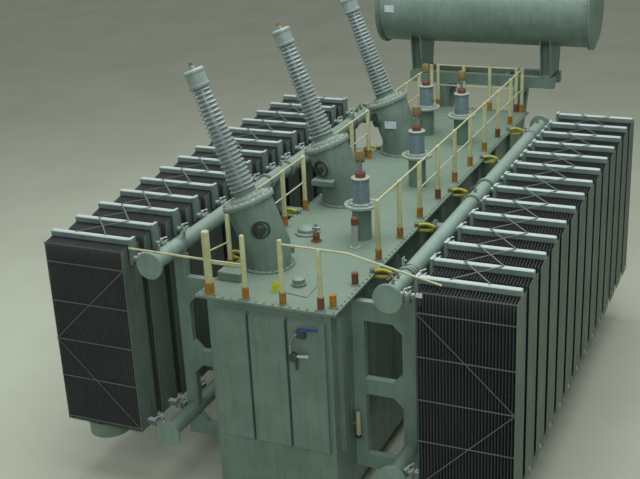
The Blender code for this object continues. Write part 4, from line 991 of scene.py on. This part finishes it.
@dataclass
class HighVoltagePhase:
    """One phase: the mitred turret with its hand hole and the leaning porcelain bushing."""

    shop: Workshop
    number: int
    foot: Vector
    hole_turn: float
    ledge: bool = False
    plate: bool = False
    lean: float = math.radians(21.2)
    knee: float = 0.318
    run: float = 0.75
    flange: float = 0.05
    radius: float = 0.37
    flange_radius: float = 0.42
    hole_level: float = 0.38
    hole_reach: float = 0.41
    plate_turn: float = math.radians(8)
    lug_angles: tuple[float, float] = (0.7, 2.44)
    neck: float = 0.155
    shed_count: int = 24
    shed_height: float = 1.665
    shed_low: float = 0.213
    shed_high: float = 0.153
    core_share: float = 0.80

    @property
    def way(self) -> Vector:
        """Give the direction in which the bushing leans."""
        return Vector((-math.sin(self.lean), 0.0, math.cos(self.lean)))

    def axis(self, distance: float) -> Vector:
        """Give the point on the leaning axis at a distance above the knee."""
        return self.foot + up(self.knee) + self.way * distance

    def hand_hole(self, form: Form) -> None:
        """Add the hand hole: its neck and flange, and the dark bolted cover."""
        hole = self.axis(self.hole_level / math.cos(self.lean))
        out = Vector((math.sin(self.hole_turn), -math.cos(self.hole_turn), 0.0))
        face = hole + out * self.hole_reach
        form.rod(hole, face, 0.118, TANK_ENAMEL, 32)
        form.rod(face - out * 0.052, face - out * 0.028, 0.15, TANK_ENAMEL, 40, 0.003)
        form.rod(face - out * 0.024, face, 0.15, DARK_STEEL, 40, 0.004)
        form.turned([(0.0, 0.009), (0.06, 0.009), (0.075, 0.0), (0.0, 0.0)], aim(face, out), DARK_STEEL, 24)
        self.shop.bolt_ring(form, face, out, 0.13, 12, 0.018, DARK_STEEL)

    def bare_plate(self, form: Form) -> None:
        """Add the small bare plate on its arm."""
        out = Vector((math.sin(self.plate_turn), -math.cos(self.plate_turn), 0.0))
        across = Vector((out.y, -out.x, 0.0)) * 0.115
        middle = self.axis(0.35)
        form.bar(middle + out * 0.33 + up(0.02), middle + out * 0.385, 0.07, 0.05, TANK_ENAMEL)
        form.bar(middle + out * 0.39 - across, middle + out * 0.39 + across, 0.004, 0.145, MARK_WHITE,
                 self.way)

    def turret(self) -> None:
        """Build the turret: foot ring, mitred pipe, top flanges, bolts, hand hole and lifting lugs."""
        form = Form("turret")
        foot = self.foot
        form.rod(foot, foot + up(0.03), 0.43, TANK_ENAMEL, 56, 0.004)
        form.pipe([foot + up(0.01), self.axis(0.0), self.axis(self.run + 0.02)], self.radius,
                  TANK_ENAMEL, 56)
        for low, high, finish in ((-0.03, 0.005, TANK_ENAMEL), (0.009, self.flange, FLANGE_ENAMEL)):
            form.rod(self.axis(self.run + low), self.axis(self.run + high), self.flange_radius, finish,
                     56, 0.004)
        for centre, axis, circle, size in ((self.axis(self.run + self.flange), self.way, 0.385, 0.036),
                                           (self.axis(self.run - 0.03), -self.way, 0.385, 0.036),
                                           (foot + up(0.03), Z_AXIS, 0.402, 0.03)):
            self.shop.bolt_ring(form, centre, axis, circle, 24, size)
        self.hand_hole(form)
        if self.ledge:
            form.block((foot.x - 0.38, foot.y - 0.50, foot.z + 0.41),
                       (foot.x + 0.03, foot.y - 0.32, foot.z + 0.51), TANK_ENAMEL, 0.008)
        if self.plate:
            self.bare_plate(form)
        for angle in self.lug_angles:
            out = Vector((math.cos(angle), math.sin(angle), 0.0))
            root = foot + out * (self.radius - 0.01) + up(0.17)
            form.bar(root, root + out * 0.075, 0.10, 0.02, TANK_ENAMEL, (-out.y, out.x, 0.0))
        node = "hv_turret_{}".format(self.number)
        set_piece(node + "_shell", form.to_mesh(), node)

    def sheds(self) -> bpy.types.Mesh:
        """Build the stack of umbrella sheds from one of unit radius at height zero."""
        form = Form("shed")
        form.turned([(0.74, 0.034), (0.84, 0.016), (0.985, -0.003), (1.0, -0.011), (0.975, -0.017),
                     (0.85, -0.010), (0.74, -0.006)], Matrix.Identity(4), PORCELAIN_GLAZE, 36)
        pitch = (self.shed_height - 0.05) / (self.shed_count - 1)
        return self.shop.tapers.stack(form.to_mesh(), self.shed_count, pitch, self.shed_low,
                                      self.shed_high, PORCELAIN_GLAZE)

    def bushing(self) -> None:
        """Build the bushing: foot, neck, sheds on a tapering core, cap and terminal."""
        form = Form("bushing")
        place = aim(self.axis(self.run + self.flange + REST_GAP), self.way)
        form.turned([(0.262, 0.0), (0.268, 0.006), (0.268, 0.044), (0.262, 0.05)], place,
                    FLANGE_ENAMEL, 48)
        self.shop.bolt_ring(form, place @ up(0.05), self.way, 0.238, 16, 0.032)
        end = self.neck + self.shed_height
        low, high = self.shed_low * self.core_share, self.shed_high * self.core_share
        form.lathe(place, ((TANK_ENAMEL, 48, [(0.205, 0.045), (0.18, 0.075), (0.18, 0.145),
                                              (0.172, self.neck)]),
                           (PORCELAIN_GLAZE, 36, [(low, self.neck - 0.004), (high, end + 0.002)])))
        form.adopt(self.sheds(), PORCELAIN_GLAZE, place @ at(0.0, 0.0, self.neck + 0.02))
        top = place @ at(0.0, 0.0, end)
        form.turned([(0.13, -0.005), (0.165, 0.01), (0.17, 0.02), (0.17, 0.05), (0.155, 0.06),
                     (0.155, 0.23), (0.17, 0.24), (0.17, 0.275), (0.14, 0.298), (0.0, 0.30)], top,
                    CAP_ENAMEL, 48)
        self.shop.bolt_ring(form, top @ up(0.05), self.way, 0.162, 12, 0.018)
        form.rod(top @ up(0.24), top @ up(0.35), 0.045, CAP_ENAMEL, 24, 0.005)
        form.rod(top @ up(0.24), top @ up(0.415), 0.029, BRASS, 16, 0.003)
        node = "hv_bushing_{}".format(self.number)
        set_piece(node + "_porcelain", form.to_mesh(), node)

    def build(self) -> None:
        """Build the turret and its bushing."""
        self.turret()
        self.bushing()


@dataclass
class ShortBushing:
    """A short bushing on its pedestal: broad foot, smooth glazed body, pale rim and a clamped stud."""

    shop: Workshop
    node: str
    place: Vector
    foot_radius: float = 0.198
    body_radius: float = 0.139
    pedestal_height: float = 0.60

    def body(self) -> None:
        """Build the bushing from its foot to the taped terminal."""
        form = Form(self.node)
        stand, body = Matrix.Translation(self.place), self.body_radius
        form.turned([(0.19, 0.0), (self.foot_radius, 0.006), (self.foot_radius, 0.024), (0.19, 0.03)],
                    stand, FLANGE_ENAMEL, 40)
        self.shop.bolt_ring(form, self.place + up(0.03), Z_AXIS, 0.175, 8, 0.026)
        form.lathe(stand, (
            (DARK_GLAZE, 48, [(body + 0.012, 0.026), (body + 0.004, 0.05), (body, 0.06), (body, 0.405),
                              (body - 0.01, 0.42)]),
            (FLANGE_ENAMEL, 48, [(0.142, 0.419), (0.155, 0.426), (0.155, 0.442), (0.142, 0.45),
                                 (0.0, 0.45)]),
            (SOCKET_RED, 28, [(0.085, 0.449), (0.085, 0.52), (0.07, 0.535), (0.0, 0.535)]),
            (CAST_ALUMINIUM, 24, [(0.032, 0.53), (0.032, 0.70), (0.078, 0.702), (0.078, 0.722),
                                  (0.03, 0.724), (0.03, 0.73), (0.0, 0.73)]),
            (VARNISHED_CLOTH, 24, [(0.06, 0.722), (0.083, 0.735), (0.083, 0.85), (0.065, 0.89),
                                   (0.0, 0.905)])))
        set_piece(self.node + "_body", form.to_mesh(), self.node)

    def pedestal(self) -> None:
        """Sleeve the pedestal smoothly and finish its broad flange with a mate and bolts."""
        form = Form("pedestal")
        top = self.pedestal_height
        form.lathe(Matrix.Translation(self.place - up(top)), (
            (TANK_ENAMEL, 48, [(0.158, 0.0), (0.158, top - 0.041), (0.15, top - 0.04), (0.15, 0.0005)]),
            (FLANGE_ENAMEL, 56, [(0.277, top - 0.0425), (0.2815, top - 0.038), (0.2815, top - 0.004),
                                 (0.277, top + 0.0005), (0.22, top + 0.0005), (0.22, top - 0.0425)])))
        self.shop.bolt_ring(form, self.place, Z_AXIS, 0.24, 12, 0.03, FLANGE_ENAMEL)
        set_piece(self.node + "_pedestal", form.to_mesh())

    def build(self) -> None:
        """Build the bushing and dress its pedestal."""
        self.body()
        self.pedestal()


@dataclass
class Conservator:
    """The oil conservator: a rolled drum with bolted rims, dished ends, saddles and small fittings."""

    shop: Workshop
    centre: Vector
    radius: float = 0.75
    length: float = 4.94
    dish: float = 0.10
    dish_steps: int = 8
    rim_rise: float = 0.05
    rim_width: float = 0.07
    seam_places: tuple[float, float] = (-0.82, 0.82)
    saddle_x: float = 1.47
    saddle_foot: float = 4.4 + REST_GAP
    plate_half: float = 0.012

    def drum(self, form: Form) -> None:
        """Add the drum, its weld seams, rims and rim bolts."""
        place = Matrix.Translation(self.centre) @ Matrix.Rotation(math.pi / 2, 4, "Y")
        skin, rim = self.radius, self.length / 2 - self.dish
        angles = [math.pi / 2 * step / self.dish_steps for step in range(1, self.dish_steps + 1)]
        profile = [(0.0, self.length / 2), *((skin * math.sin(angle), rim + self.dish * math.cos(angle))
                                             for angle in angles), (skin, 0.0)]
        profile += [(radius, -height) for radius, height in reversed(profile[:-1])]
        form.turned(profile, place, TANK_ENAMEL, 96)
        for seam in self.seam_places:
            form.turned([(skin + rise, seam + shift) for rise, shift in
                         ((-0.004, -0.007), (0.003, -0.003), (0.003, 0.003), (-0.004, 0.007),
                          (-0.012, 0.0))], place, TANK_ENAMEL, 96)
        ring, plate = skin + self.rim_rise, self.rim_width / 2 - 0.003
        for sign in (-1.0, 1.0):
            for start in (rim - self.rim_width, rim - plate):
                low, high = sorted((sign * start, sign * (start + plate)))
                form.turned([(skin - 0.02, low), (ring - 0.003, low), (ring, low + 0.003),
                             (ring, high - 0.003), (ring - 0.003, high), (skin - 0.02, high)],
                            place, TANK_ENAMEL, 96)
            face = self.centre + Vector((sign * (rim - self.rim_width), 0.0, 0.0))
            self.shop.bolt_ring(form, face, (-sign, 0.0, 0.0), skin + 0.026, 40, 0.026)

    def saddle(self, form: Form, x: float) -> None:
        """Add one saddle: a pair of plates with a base, three ribs between them and four bolts."""
        y, foot, top = self.centre.y, self.saddle_foot, self.centre.z - self.radius + 0.30
        outline = ((y - 0.38, foot), (y + 0.38, foot), (y + 0.55, top), (y - 0.55, top))
        for middle in (x - 0.108, x + 0.108):
            form.skin([[(face, across, level) for across, level in outline]
                       for face in (middle - self.plate_half, middle + self.plate_half)], TANK_ENAMEL)
        form.block((x - 0.12, y - 0.38, foot), (x + 0.12, y + 0.38, foot + 0.03), TANK_ENAMEL, 0.004)
        for rib in (-0.26, 0.0, 0.26):
            form.block((x - 0.10, y + rib - 0.01, foot + 0.02), (x + 0.10, y + rib + 0.01, top - 0.02),
                       TANK_ENAMEL)
        for across in (y - 0.32, y + 0.32):
            self.shop.bolt_row(form, (x - 0.07, across, foot + 0.03), (x + 0.07, across, foot + 0.03),
                               0.14, 0.034)

    def fittings(self, form: Form) -> None:
        """Add the lifting lugs, the manhole cover, a small bare plate and the black gauge."""
        y, top = self.centre.y, self.centre.z + self.radius
        for x in (-1.55, 1.65):
            form.bar((x, y, top - 0.03), (x, y, top + 0.03), 0.12, 0.024, TANK_ENAMEL, X_AXIS)
        end = self.centre + Vector((self.length / 2, 0.0, 0.0))
        form.rod(end - Vector((0.065, 0.0, 0.0)), end - Vector((0.007, 0.0, 0.0)), 0.27, TANK_ENAMEL, 40,
                 0.004)
        form.block((-2.10, 4.572, 5.79), (-1.88, 4.585, 5.94), MARK_WHITE, 0.002)
        gauge = self.centre + Vector((-self.length / 2 + 0.06, -0.02, 0.30))
        form.rod(gauge, gauge - Vector((0.055, 0.0, 0.0)), 0.12, BLACK_RUBBER, 32, 0.004)

    def build(self) -> None:
        """Build the whole conservator."""
        form = Form("conservator")
        self.drum(form)
        for x in (-self.saddle_x, self.saddle_x):
            self.saddle(form, x)
        self.fittings(form)
        set_piece("conservator_drum", form.to_mesh(), "conservator")


@dataclass
class FanRow:
    """A row of axial fans under one bank: shrouds, guards, hubs and blades on a rail."""

    side: Side
    x: float = 3.201
    radius: float = 0.335
    pitch: float = 1.64
    count: int = 6
    top: float = 1.0187
    depth: float = 0.25
    wall: float = 0.012
    blades: int = 6
    blade_tilt: float = 0.45
    guard_rings: tuple[float, ...] = (0.10, 0.16, 0.22, 0.28)
    rail_x: float = 3.031
    rail_half: float = 0.045
    rail_top: float = 1.0437

    def fan(self, form: Form, y: float) -> None:
        """Add one fan: a rolled shroud, a motor, blades and the wire guard under them."""
        hub = Vector((self.x, y, self.top - self.depth))
        stand = Matrix.Translation(hub)
        inner = self.radius - self.wall
        form.turned([(inner, 0.0), (self.radius, 0.0), (self.radius, self.depth), (inner, self.depth)],
                    stand, TANK_ENAMEL, 40, True)
        form.turned([(0.0, 0.05), (0.07, 0.05), (0.08, 0.07), (0.08, 0.20), (0.0, 0.20)], stand,
                    DARK_STEEL, 20)
        for way in spokes(1.0, self.blades):
            tilt = Vector((-way.y, way.x, 0.0)) * self.blade_tilt + up(1.0)
            form.bar(hub + up(0.11) + way * 0.07, hub + up(0.11) + way * (inner - 0.02), 0.13, 0.006,
                     CAST_ALUMINIUM, tilt)
            form.bar(hub + up(0.02), hub + up(0.02) + way * inner, 0.006, 0.006, ZINC)
        for ring in self.guard_rings:
            form.turned([(ring, 0.009), (ring + 0.004, 0.013), (ring, 0.017), (ring - 0.004, 0.013)],
                        stand, ZINC, 28, True)

    def build(self) -> None:
        """Build the row with its rail."""
        form = Form("fans", self.side.turn())
        reach = self.pitch * (self.count - 1) / 2
        form.block((self.rail_x - self.rail_half, BANKS_CENTRE_Y - reach, self.rail_top - 0.05),
                   (self.rail_x + self.rail_half, BANKS_CENTRE_Y + reach, self.rail_top), TANK_ENAMEL,
                   0.006)
        for index in range(self.count):
            self.fan(form, BANKS_CENTRE_Y - reach + self.pitch * index)
        node = "fan_row_" + self.side.value
        set_piece(node + "_fans", form.to_mesh(), node)


@dataclass
class GuardRail:
    """Cream posts in painted sockets round the cover, with the rails that join them."""

    corner_radius: float = 0.06
    low_height: float = 0.92
    foot: float = COVER_TOP + REST_GAP
    socket_height: float = 0.19
    front_y: float = -5.98
    rear_y: float = 4.79
    left_x: float = -1.05
    right_x: float = 0.995
    lower_rail: float = 0.52
    upper_rail: float = 0.975

    def socket(self, form: Form, x: float, y: float, finish: Finish, radius: float = POST_RADIUS) -> None:
        """Add the taped socket at the foot of a post, with its base ring."""
        wide = radius + 0.014
        form.rod((x, y, self.foot), (x, y, self.foot + 0.012), wide + 0.02, TANK_ENAMEL, 20, 0.002)
        form.rod((x, y, self.foot), (x, y, self.foot + self.socket_height), wide, finish, 20, 0.004)

    def post(self, form: Form, x: float, y: float, finish: Finish, radius: float = POST_RADIUS,
             height: float = 1.0) -> None:
        """Add a post with its socket and a domed cap."""
        self.socket(form, x, y, finish, radius)
        form.turned([(radius, 0.01), (radius, height - 0.02), (radius * 0.8, height - 0.005),
                     (0.0, height)], at(x, y, self.foot), CREAM_ENAMEL, 20)

    def rail(self, form: Form, points: Sequence[Point], radius: float) -> None:
        """Add one round rail through points given by x, y and height over the cover."""
        form.pipe([(x, y, COVER_TOP + height) for x, y, height in points], radius, CREAM_ENAMEL, 12)

    def front(self) -> None:
        """Build what stands of the front row: two posts with a return, and two with a loose rail."""
        y, corner, second = self.front_y, -0.93, -0.332
        form = Form("front")
        self.post(form, corner, y, SOCKET_ORANGE, self.corner_radius)
        self.post(form, second, y, SOCKET_ORANGE)
        self.post(form, self.left_x, y + 0.90, SOCKET_ORANGE, height=self.low_height)
        level = COVER_TOP + self.lower_rail
        form.bar((corner, y, level), (second, y, level), 0.03, 0.055, CREAM_ENAMEL)
        self.rail(form, ((corner, y, 0.66), (self.left_x, y + 0.90, 0.47)), 0.013)
        self.rail(form, ((-2.29, y + 0.02, 0.55), (corner, y + 0.02, 0.53)), 0.018)
        set_piece("guard_rail_front_posts", form.to_mesh(), "guard_rail_front")
        form = Form("front_right")
        self.post(form, 0.267, y, SOCKET_ORANGE)
        self.post(form, 0.865, y, SOCKET_RED, height=self.low_height)
        self.rail(form, ((0.267, y, 0.93), (1.30, y, 0.915), (2.66, y + 0.008, 0.612)), 0.017)
        set_piece("guard_rail_front_right_posts", form.to_mesh(), "guard_rail_front_right")

    def row(self, node: str, posts: Sequence[tuple[float, float]], rails: Sequence[Sequence[Point]],
            sockets: Sequence[tuple[float, float]] = ()) -> None:
        """Build one straight row.

        Args:
            node: the CAD node that it stands for.
            posts: where the posts stand.
            rails: the rails, each a path of x, y and height over the cover.
            sockets: where a socket stands without a post.
        """
        form = Form(node)
        for index, (x, y) in enumerate(posts):
            self.post(form, x, y, SOCKET_RED if index % 4 == 3 else SOCKET_ORANGE)
        for (x, y), finish in zip(sockets, (SOCKET_YELLOW, SOCKET_RED)):
            self.socket(form, x, y, finish)
        for path in rails:
            self.rail(form, path, 0.017 if path[0][2] > self.lower_rail else 0.013)
        set_piece(node + "_posts", form.to_mesh(), node)

    def build(self) -> None:
        """Build every row of the guard rail."""
        self.front()
        low, high = self.lower_rail, self.upper_rail
        x, end = self.right_x, self.rear_y
        along = [-4.03 + 0.98 * index for index in range(10)]
        self.row("guard_rail_right", [(x, y) for y in along],
                 (((x, along[0], high), (x, end, high)), ((x, along[2], low), (x, end, low))),
                 ((x, -5.84), (x, -5.01)))
        x = self.left_x
        for name, first, last, count in (("guard_rail_left_1", -4.065, -2.275, 2),
                                         ("guard_rail_left_2", -1.015, 0.775, 2),
                                         ("guard_rail_left_3", 2.035, 4.70, 3)):
            start = first + 0.95
            posts = [(x, start + (last - start) * index / (count - 1)) for index in range(count)]
            self.row(name, posts, [((x, first, level), (x, last, level)) for level in (low, high)])
        across = [-0.93 + 1.795 * index / 3 for index in range(4)]
        self.row("guard_rail_rear", [(x, end) for x in across],
                 [((across[0], end, level), (across[-1], end, level)) for level in (low, high)])


@dataclass
class CoverFittings:
    """What stands on the cover: edge bolts, a low box, small terminals and bonding loops."""

    shop: Workshop
    half_width: float = 1.13
    front_y: float = -6.09
    rear_y: float = 4.90
    bolt_pitch: float = 0.14
    strap_places: tuple[float, ...] = (-4.52, -2.49, -0.66, 1.36, 3.35)

    def edge(self, form: Form) -> None:
        """Add the row of bolts along each edge of the cover."""
        x, front, rear = self.half_width - 0.04, self.front_y + 0.04, self.rear_y - 0.04
        for start, end in (((-x, front), (x, front)), ((-x, rear), (x, rear)),
                           ((-x, front + 0.14), (-x, rear - 0.14)), ((x, front + 0.14), (x, rear - 0.14))):
            self.shop.bolt_row(form, (*start, COVER_TOP), (*end, COVER_TOP), self.bolt_pitch, 0.034)

    def boxes(self, form: Form) -> None:
        """Add the low box, the dished cover, the thin plate with its capped stub and the yellow tag."""
        top = COVER_TOP
        form.block((-1.06, -5.50, top), (-0.68, -5.28, top + 0.145), TANK_ENAMEL, 0.01)
        form.turned([(0.21, 0.0), (0.21, 0.03), (0.17, 0.045), (0.16, 0.09), (0.11, 0.13), (0.0, 0.15)],
                    at(-0.55, -3.30, top), TANK_ENAMEL, 40)
        self.shop.bolt_ring(form, (-0.55, -3.30, top + 0.034), Z_AXIS, 0.19, 10, 0.022)
        outline = ((-0.104, -5.581), (0.51, -5.68), (0.48, -5.12), (-0.037, -5.095))
        form.skin([[(x, y, level) for x, y in outline] for level in (top, top + 0.012)], COVER_ENAMEL)
        form.turned([(0.11, 0.01), (0.11, 0.05), (0.095, 0.055), (0.095, 0.12), (0.07, 0.135),
                     (0.0, 0.135)], at(0.216, -5.315, top), TANK_ENAMEL, 28)
        form.bar((-0.03, -5.63, top), (-0.02, -5.60, top + 0.15), 0.12, 0.006, TAG_YELLOW,
                 (0.35, -0.94, 0.0))

    def terminals(self, form: Form) -> None:
        """Add the small terminal with its clamp and the capped pale pipe by the first short bushing."""
        top = COVER_TOP
        form.lathe(at(-0.263, -3.586, top), (
            (SOCKET_RED, 24, [(0.09, 0.0), (0.09, 0.015), (0.055, 0.02), (0.06, 0.12), (0.045, 0.14),
                              (0.0, 0.14)]),
            (CAST_ALUMINIUM, 16, [(0.024, 0.13), (0.024, 0.30), (0.0, 0.30)])))
        form.block((-0.323, -3.616, top + 0.20), (-0.193, -3.556, top + 0.25), CAST_ALUMINIUM, 0.006)
        form.lathe(at(0.453, -3.66, top), (
            (FLANGE_ENAMEL, 24, [(0.09, 0.0), (0.09, 0.02), (0.052, 0.022), (0.052, 0.40), (0.0, 0.40)]),
            (SOCKET_RED, 24, [(0.05, 0.39), (0.058, 0.40), (0.058, 0.50), (0.035, 0.52), (0.0, 0.52)])))

    def straps(self, form: Form) -> None:
        """Add the yellow bonding loops that stand out from the cover's edge over the tank wall."""
        loop = ((-0.05, 0.0, COVER_TOP + 0.03), (0.13, 0.02, 3.69), (0.26, 0.03, 3.65),
                (0.20, 0.04, 3.57), (0.08, 0.04, 3.555), (-0.125, 0.04, 3.55))
        for y in self.strap_places:
            for side in (-1.0, 1.0):
                path = [(side * (self.half_width + out), y + along, level) for out, along, level in loop]
                form.pipe(rounded(path, 0.035), 0.028, YELLOW_STRAP, 12)
                x = side * (self.half_width - 0.05)
                form.rod((x, y, COVER_TOP), (x, y, COVER_TOP + 0.07), 0.04, ZINC, 12, 0.004)

    def build(self) -> None:
        """Build the pieces on the cover."""
        form = Form("cover")
        self.edge(form)
        self.boxes(form)
        self.terminals(form)
        set_piece("cover_fittings", form.to_mesh())
        form = Form("straps")
        self.straps(form)
        set_piece("earth_straps", form.to_mesh())


@dataclass
class FrontFittings:
    """The small valve with its lever on the front wall, and the pocket pipe at the right corner."""

    wall_y: float = -6.04
    reach: float = 0.08
    valve_x: float = 0.435
    valve_level: float = 2.86
    pocket_x: float = 1.085
    pocket_y: float = -5.30

    def valve(self, form: Form) -> None:
        """Add the drain valve: flange, dark body, curved stem, white mark and a blue lever above."""
        wall, face, x, level = self.wall_y, self.wall_y - self.reach, self.valve_x, self.valve_level
        form.rod((x, wall + 0.02, level), (x, wall - 0.02, level), 0.10, TANK_ENAMEL, 28, 0.003)
        form.rod((x, wall - 0.015, level), (x, face, level), 0.075, DARK_STEEL, 24, 0.006)
        y = face + 0.02
        form.bar((0.481, y + 0.01, 2.80), (0.481, y + 0.01, 2.66), 0.03, 0.03, DARK_STEEL, Y_AXIS)
        form.bar((0.50, y, 2.885), (0.68, y, 2.905), 0.03, 0.03, MARK_WHITE, Y_AXIS)
        form.pipe(rounded([(0.40, y, 2.92), (0.40, y, 3.10), (0.47, y, 3.22), (0.58, wall - 0.005, 3.27)],
                          0.05), 0.017, ZINC, 12)
        form.block((0.50, y, 3.17), (0.64, wall + 0.001, 3.31), DARK_STEEL, 0.01)
        form.bar((0.56, y - 0.005, 3.318), (0.85, y - 0.005, 3.355), 0.03, 0.028, BLUE_GRIP, Y_AXIS)

    def pocket(self, form: Form) -> None:
        """Add the pale pocket pipe on its arm beside the right front corner."""
        x, y = self.pocket_x, self.pocket_y
        form.rod((x, y, 1.24), (x, y, 1.63), 0.038, CREAM_ENAMEL, 20, 0.004)
        form.rod((x, y, 1.20), (x, y, 1.245), 0.05, BLACK_RUBBER, 20, 0.004)
        form.bar((0.999, y, 1.44), (1.06, y, 1.44), 0.04, 0.02, TANK_ENAMEL)

    def build(self) -> None:
        """Build the fittings of the tank's front end."""
        form = Form("front_fittings")
        self.valve(form)
        self.pocket(form)
        set_piece("front_fittings", form.to_mesh())


@dataclass
class Studio:
    """The plain pale floor, the soft lamps and the camera at the photograph's angle."""

    place: tuple[float, float, float] = (7.061, -19.380, 10.542)
    right: tuple[float, float, float] = (0.91499, 0.40093, -0.04518)
    down: tuple[float, float, float] = (0.10930, -0.35410, -0.92880)
    forward: tuple[float, float, float] = (-0.38838, 0.84490, -0.36783)
    lens: float = 64.47
    sensor: float = 36.0
    floor_half: float = 90.0
    floor_depth: float = 0.2
    aimed_at: tuple[float, float, float] = (0.0, -1.0, 2.5)
    sky: str = "#D9DED8"
    sky_strength: float = 0.45

    def camera(self) -> None:
        """Create the camera and make it the scene's."""
        data = bpy.data.cameras.new("camera")
        data.lens = self.lens
        data.sensor_width = self.sensor
        data.clip_end = 400.0
        camera = bpy.data.objects.new("camera", data)
        columns = (Vector(self.right), -Vector(self.down), -Vector(self.forward))
        turn = Matrix(columns).transposed().to_4x4()
        camera.matrix_world = Matrix.Translation(self.place) @ turn
        bpy.context.scene.collection.objects.link(camera)
        bpy.context.scene.camera = camera

    def floor(self) -> None:
        """Lay the floor."""
        form, half = Form("floor"), self.floor_half
        form.block((-half, -half, -self.floor_depth), (half, half, 0.0), PALE_FLOOR)
        piece = bpy.data.objects.new("floor", form.to_mesh())
        bpy.context.scene.collection.objects.link(piece)

    def lamps(self) -> None:
        """Hang one broad lamp overhead and two weaker ones in front, and fill with the world."""
        for name, place, size, power in (("overhead", (1.0, -1.0, 16.0), 16.0, 2300.0),
                                         ("front", (9.0, -20.0, 12.0), 12.0, 900.0),
                                         ("side", (-16.0, -8.0, 10.0), 10.0, 500.0)):
            data = bpy.data.lights.new(name, "AREA")
            data.shape = "SQUARE"
            data.size = size
            data.energy = power
            lamp = bpy.data.objects.new(name, data)
            lamp.location = place
            way = Vector(self.aimed_at) - Vector(place)
            lamp.rotation_euler = way.to_track_quat("-Z", "Y").to_euler()
            bpy.context.scene.collection.objects.link(lamp)
        world = bpy.data.worlds.new("studio")
        world.use_nodes = True
        background = world.node_tree.nodes["Background"]
        background.inputs["Color"].default_value = colour(self.sky)
        background.inputs["Strength"].default_value = self.sky_strength
        bpy.context.scene.world = world

    def build(self) -> None:
        """Set the stage and the plain view settings."""
        self.camera()
        self.floor()
        self.lamps()
        bpy.context.scene.view_settings.view_transform = "Standard"


class CarriedOver(Enum):
    """The CAD nodes that keep their shape and take a better finish, by how their names start."""

    SKIDS = ("skid", SKID_ENAMEL)
    TANK = ("tank", TANK_ENAMEL)
    COVER = ("tank_cover", COVER_ENAMEL)
    # The brackets take the paler collector enamel, painted light for how brightly they are lit
    BRACKETS = ("collector_bracket", COLLECTOR_PAINTED_LIGHT_ENAMEL)
    BEAMS = ("conservator_beams", TANK_ENAMEL)
    REAR_BRACKETS = ("conservator_bracket", TANK_ENAMEL)

    @classmethod
    def dress(cls) -> None:
        """Give each such node its material; the cover comes after the tank, whose name it shares."""
        for name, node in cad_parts.items():
            for kind in cls:
                start, finish = kind.value
                if name.startswith(start):
                    node.data.materials.clear()
                    node.data.materials.append(finish.material())


def main() -> None:
    """Build every sub-assembly in order."""
    logging.basicConfig(level=logging.INFO, format="%(message)s")
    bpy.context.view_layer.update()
    Studio().build()
    shop = Workshop()
    CarriedOver.dress()
    for side in Side:
        RadiatorBank(shop, side).build()
        Collectors(shop, side).build()
        FanRow(side).build()
    for number, (y, turn) in enumerate(PHASES, 1):
        HighVoltagePhase(shop, number, Vector((PHASE_X, y, COVER_TOP + REST_GAP)), math.radians(turn),
                         ledge=number == 2, plate=number == 3).build()
    for node, x, y in SHORT_BUSHINGS:
        ShortBushing(shop, node, Vector((x, y, PEDESTAL_TOP + REST_GAP))).build()
    Conservator(shop, Vector(CONSERVATOR_CENTRE)).build()
    GuardRail().build()
    CoverFittings(shop).build()
    FrontFittings().build()


if __name__ == "__main__":
    main()
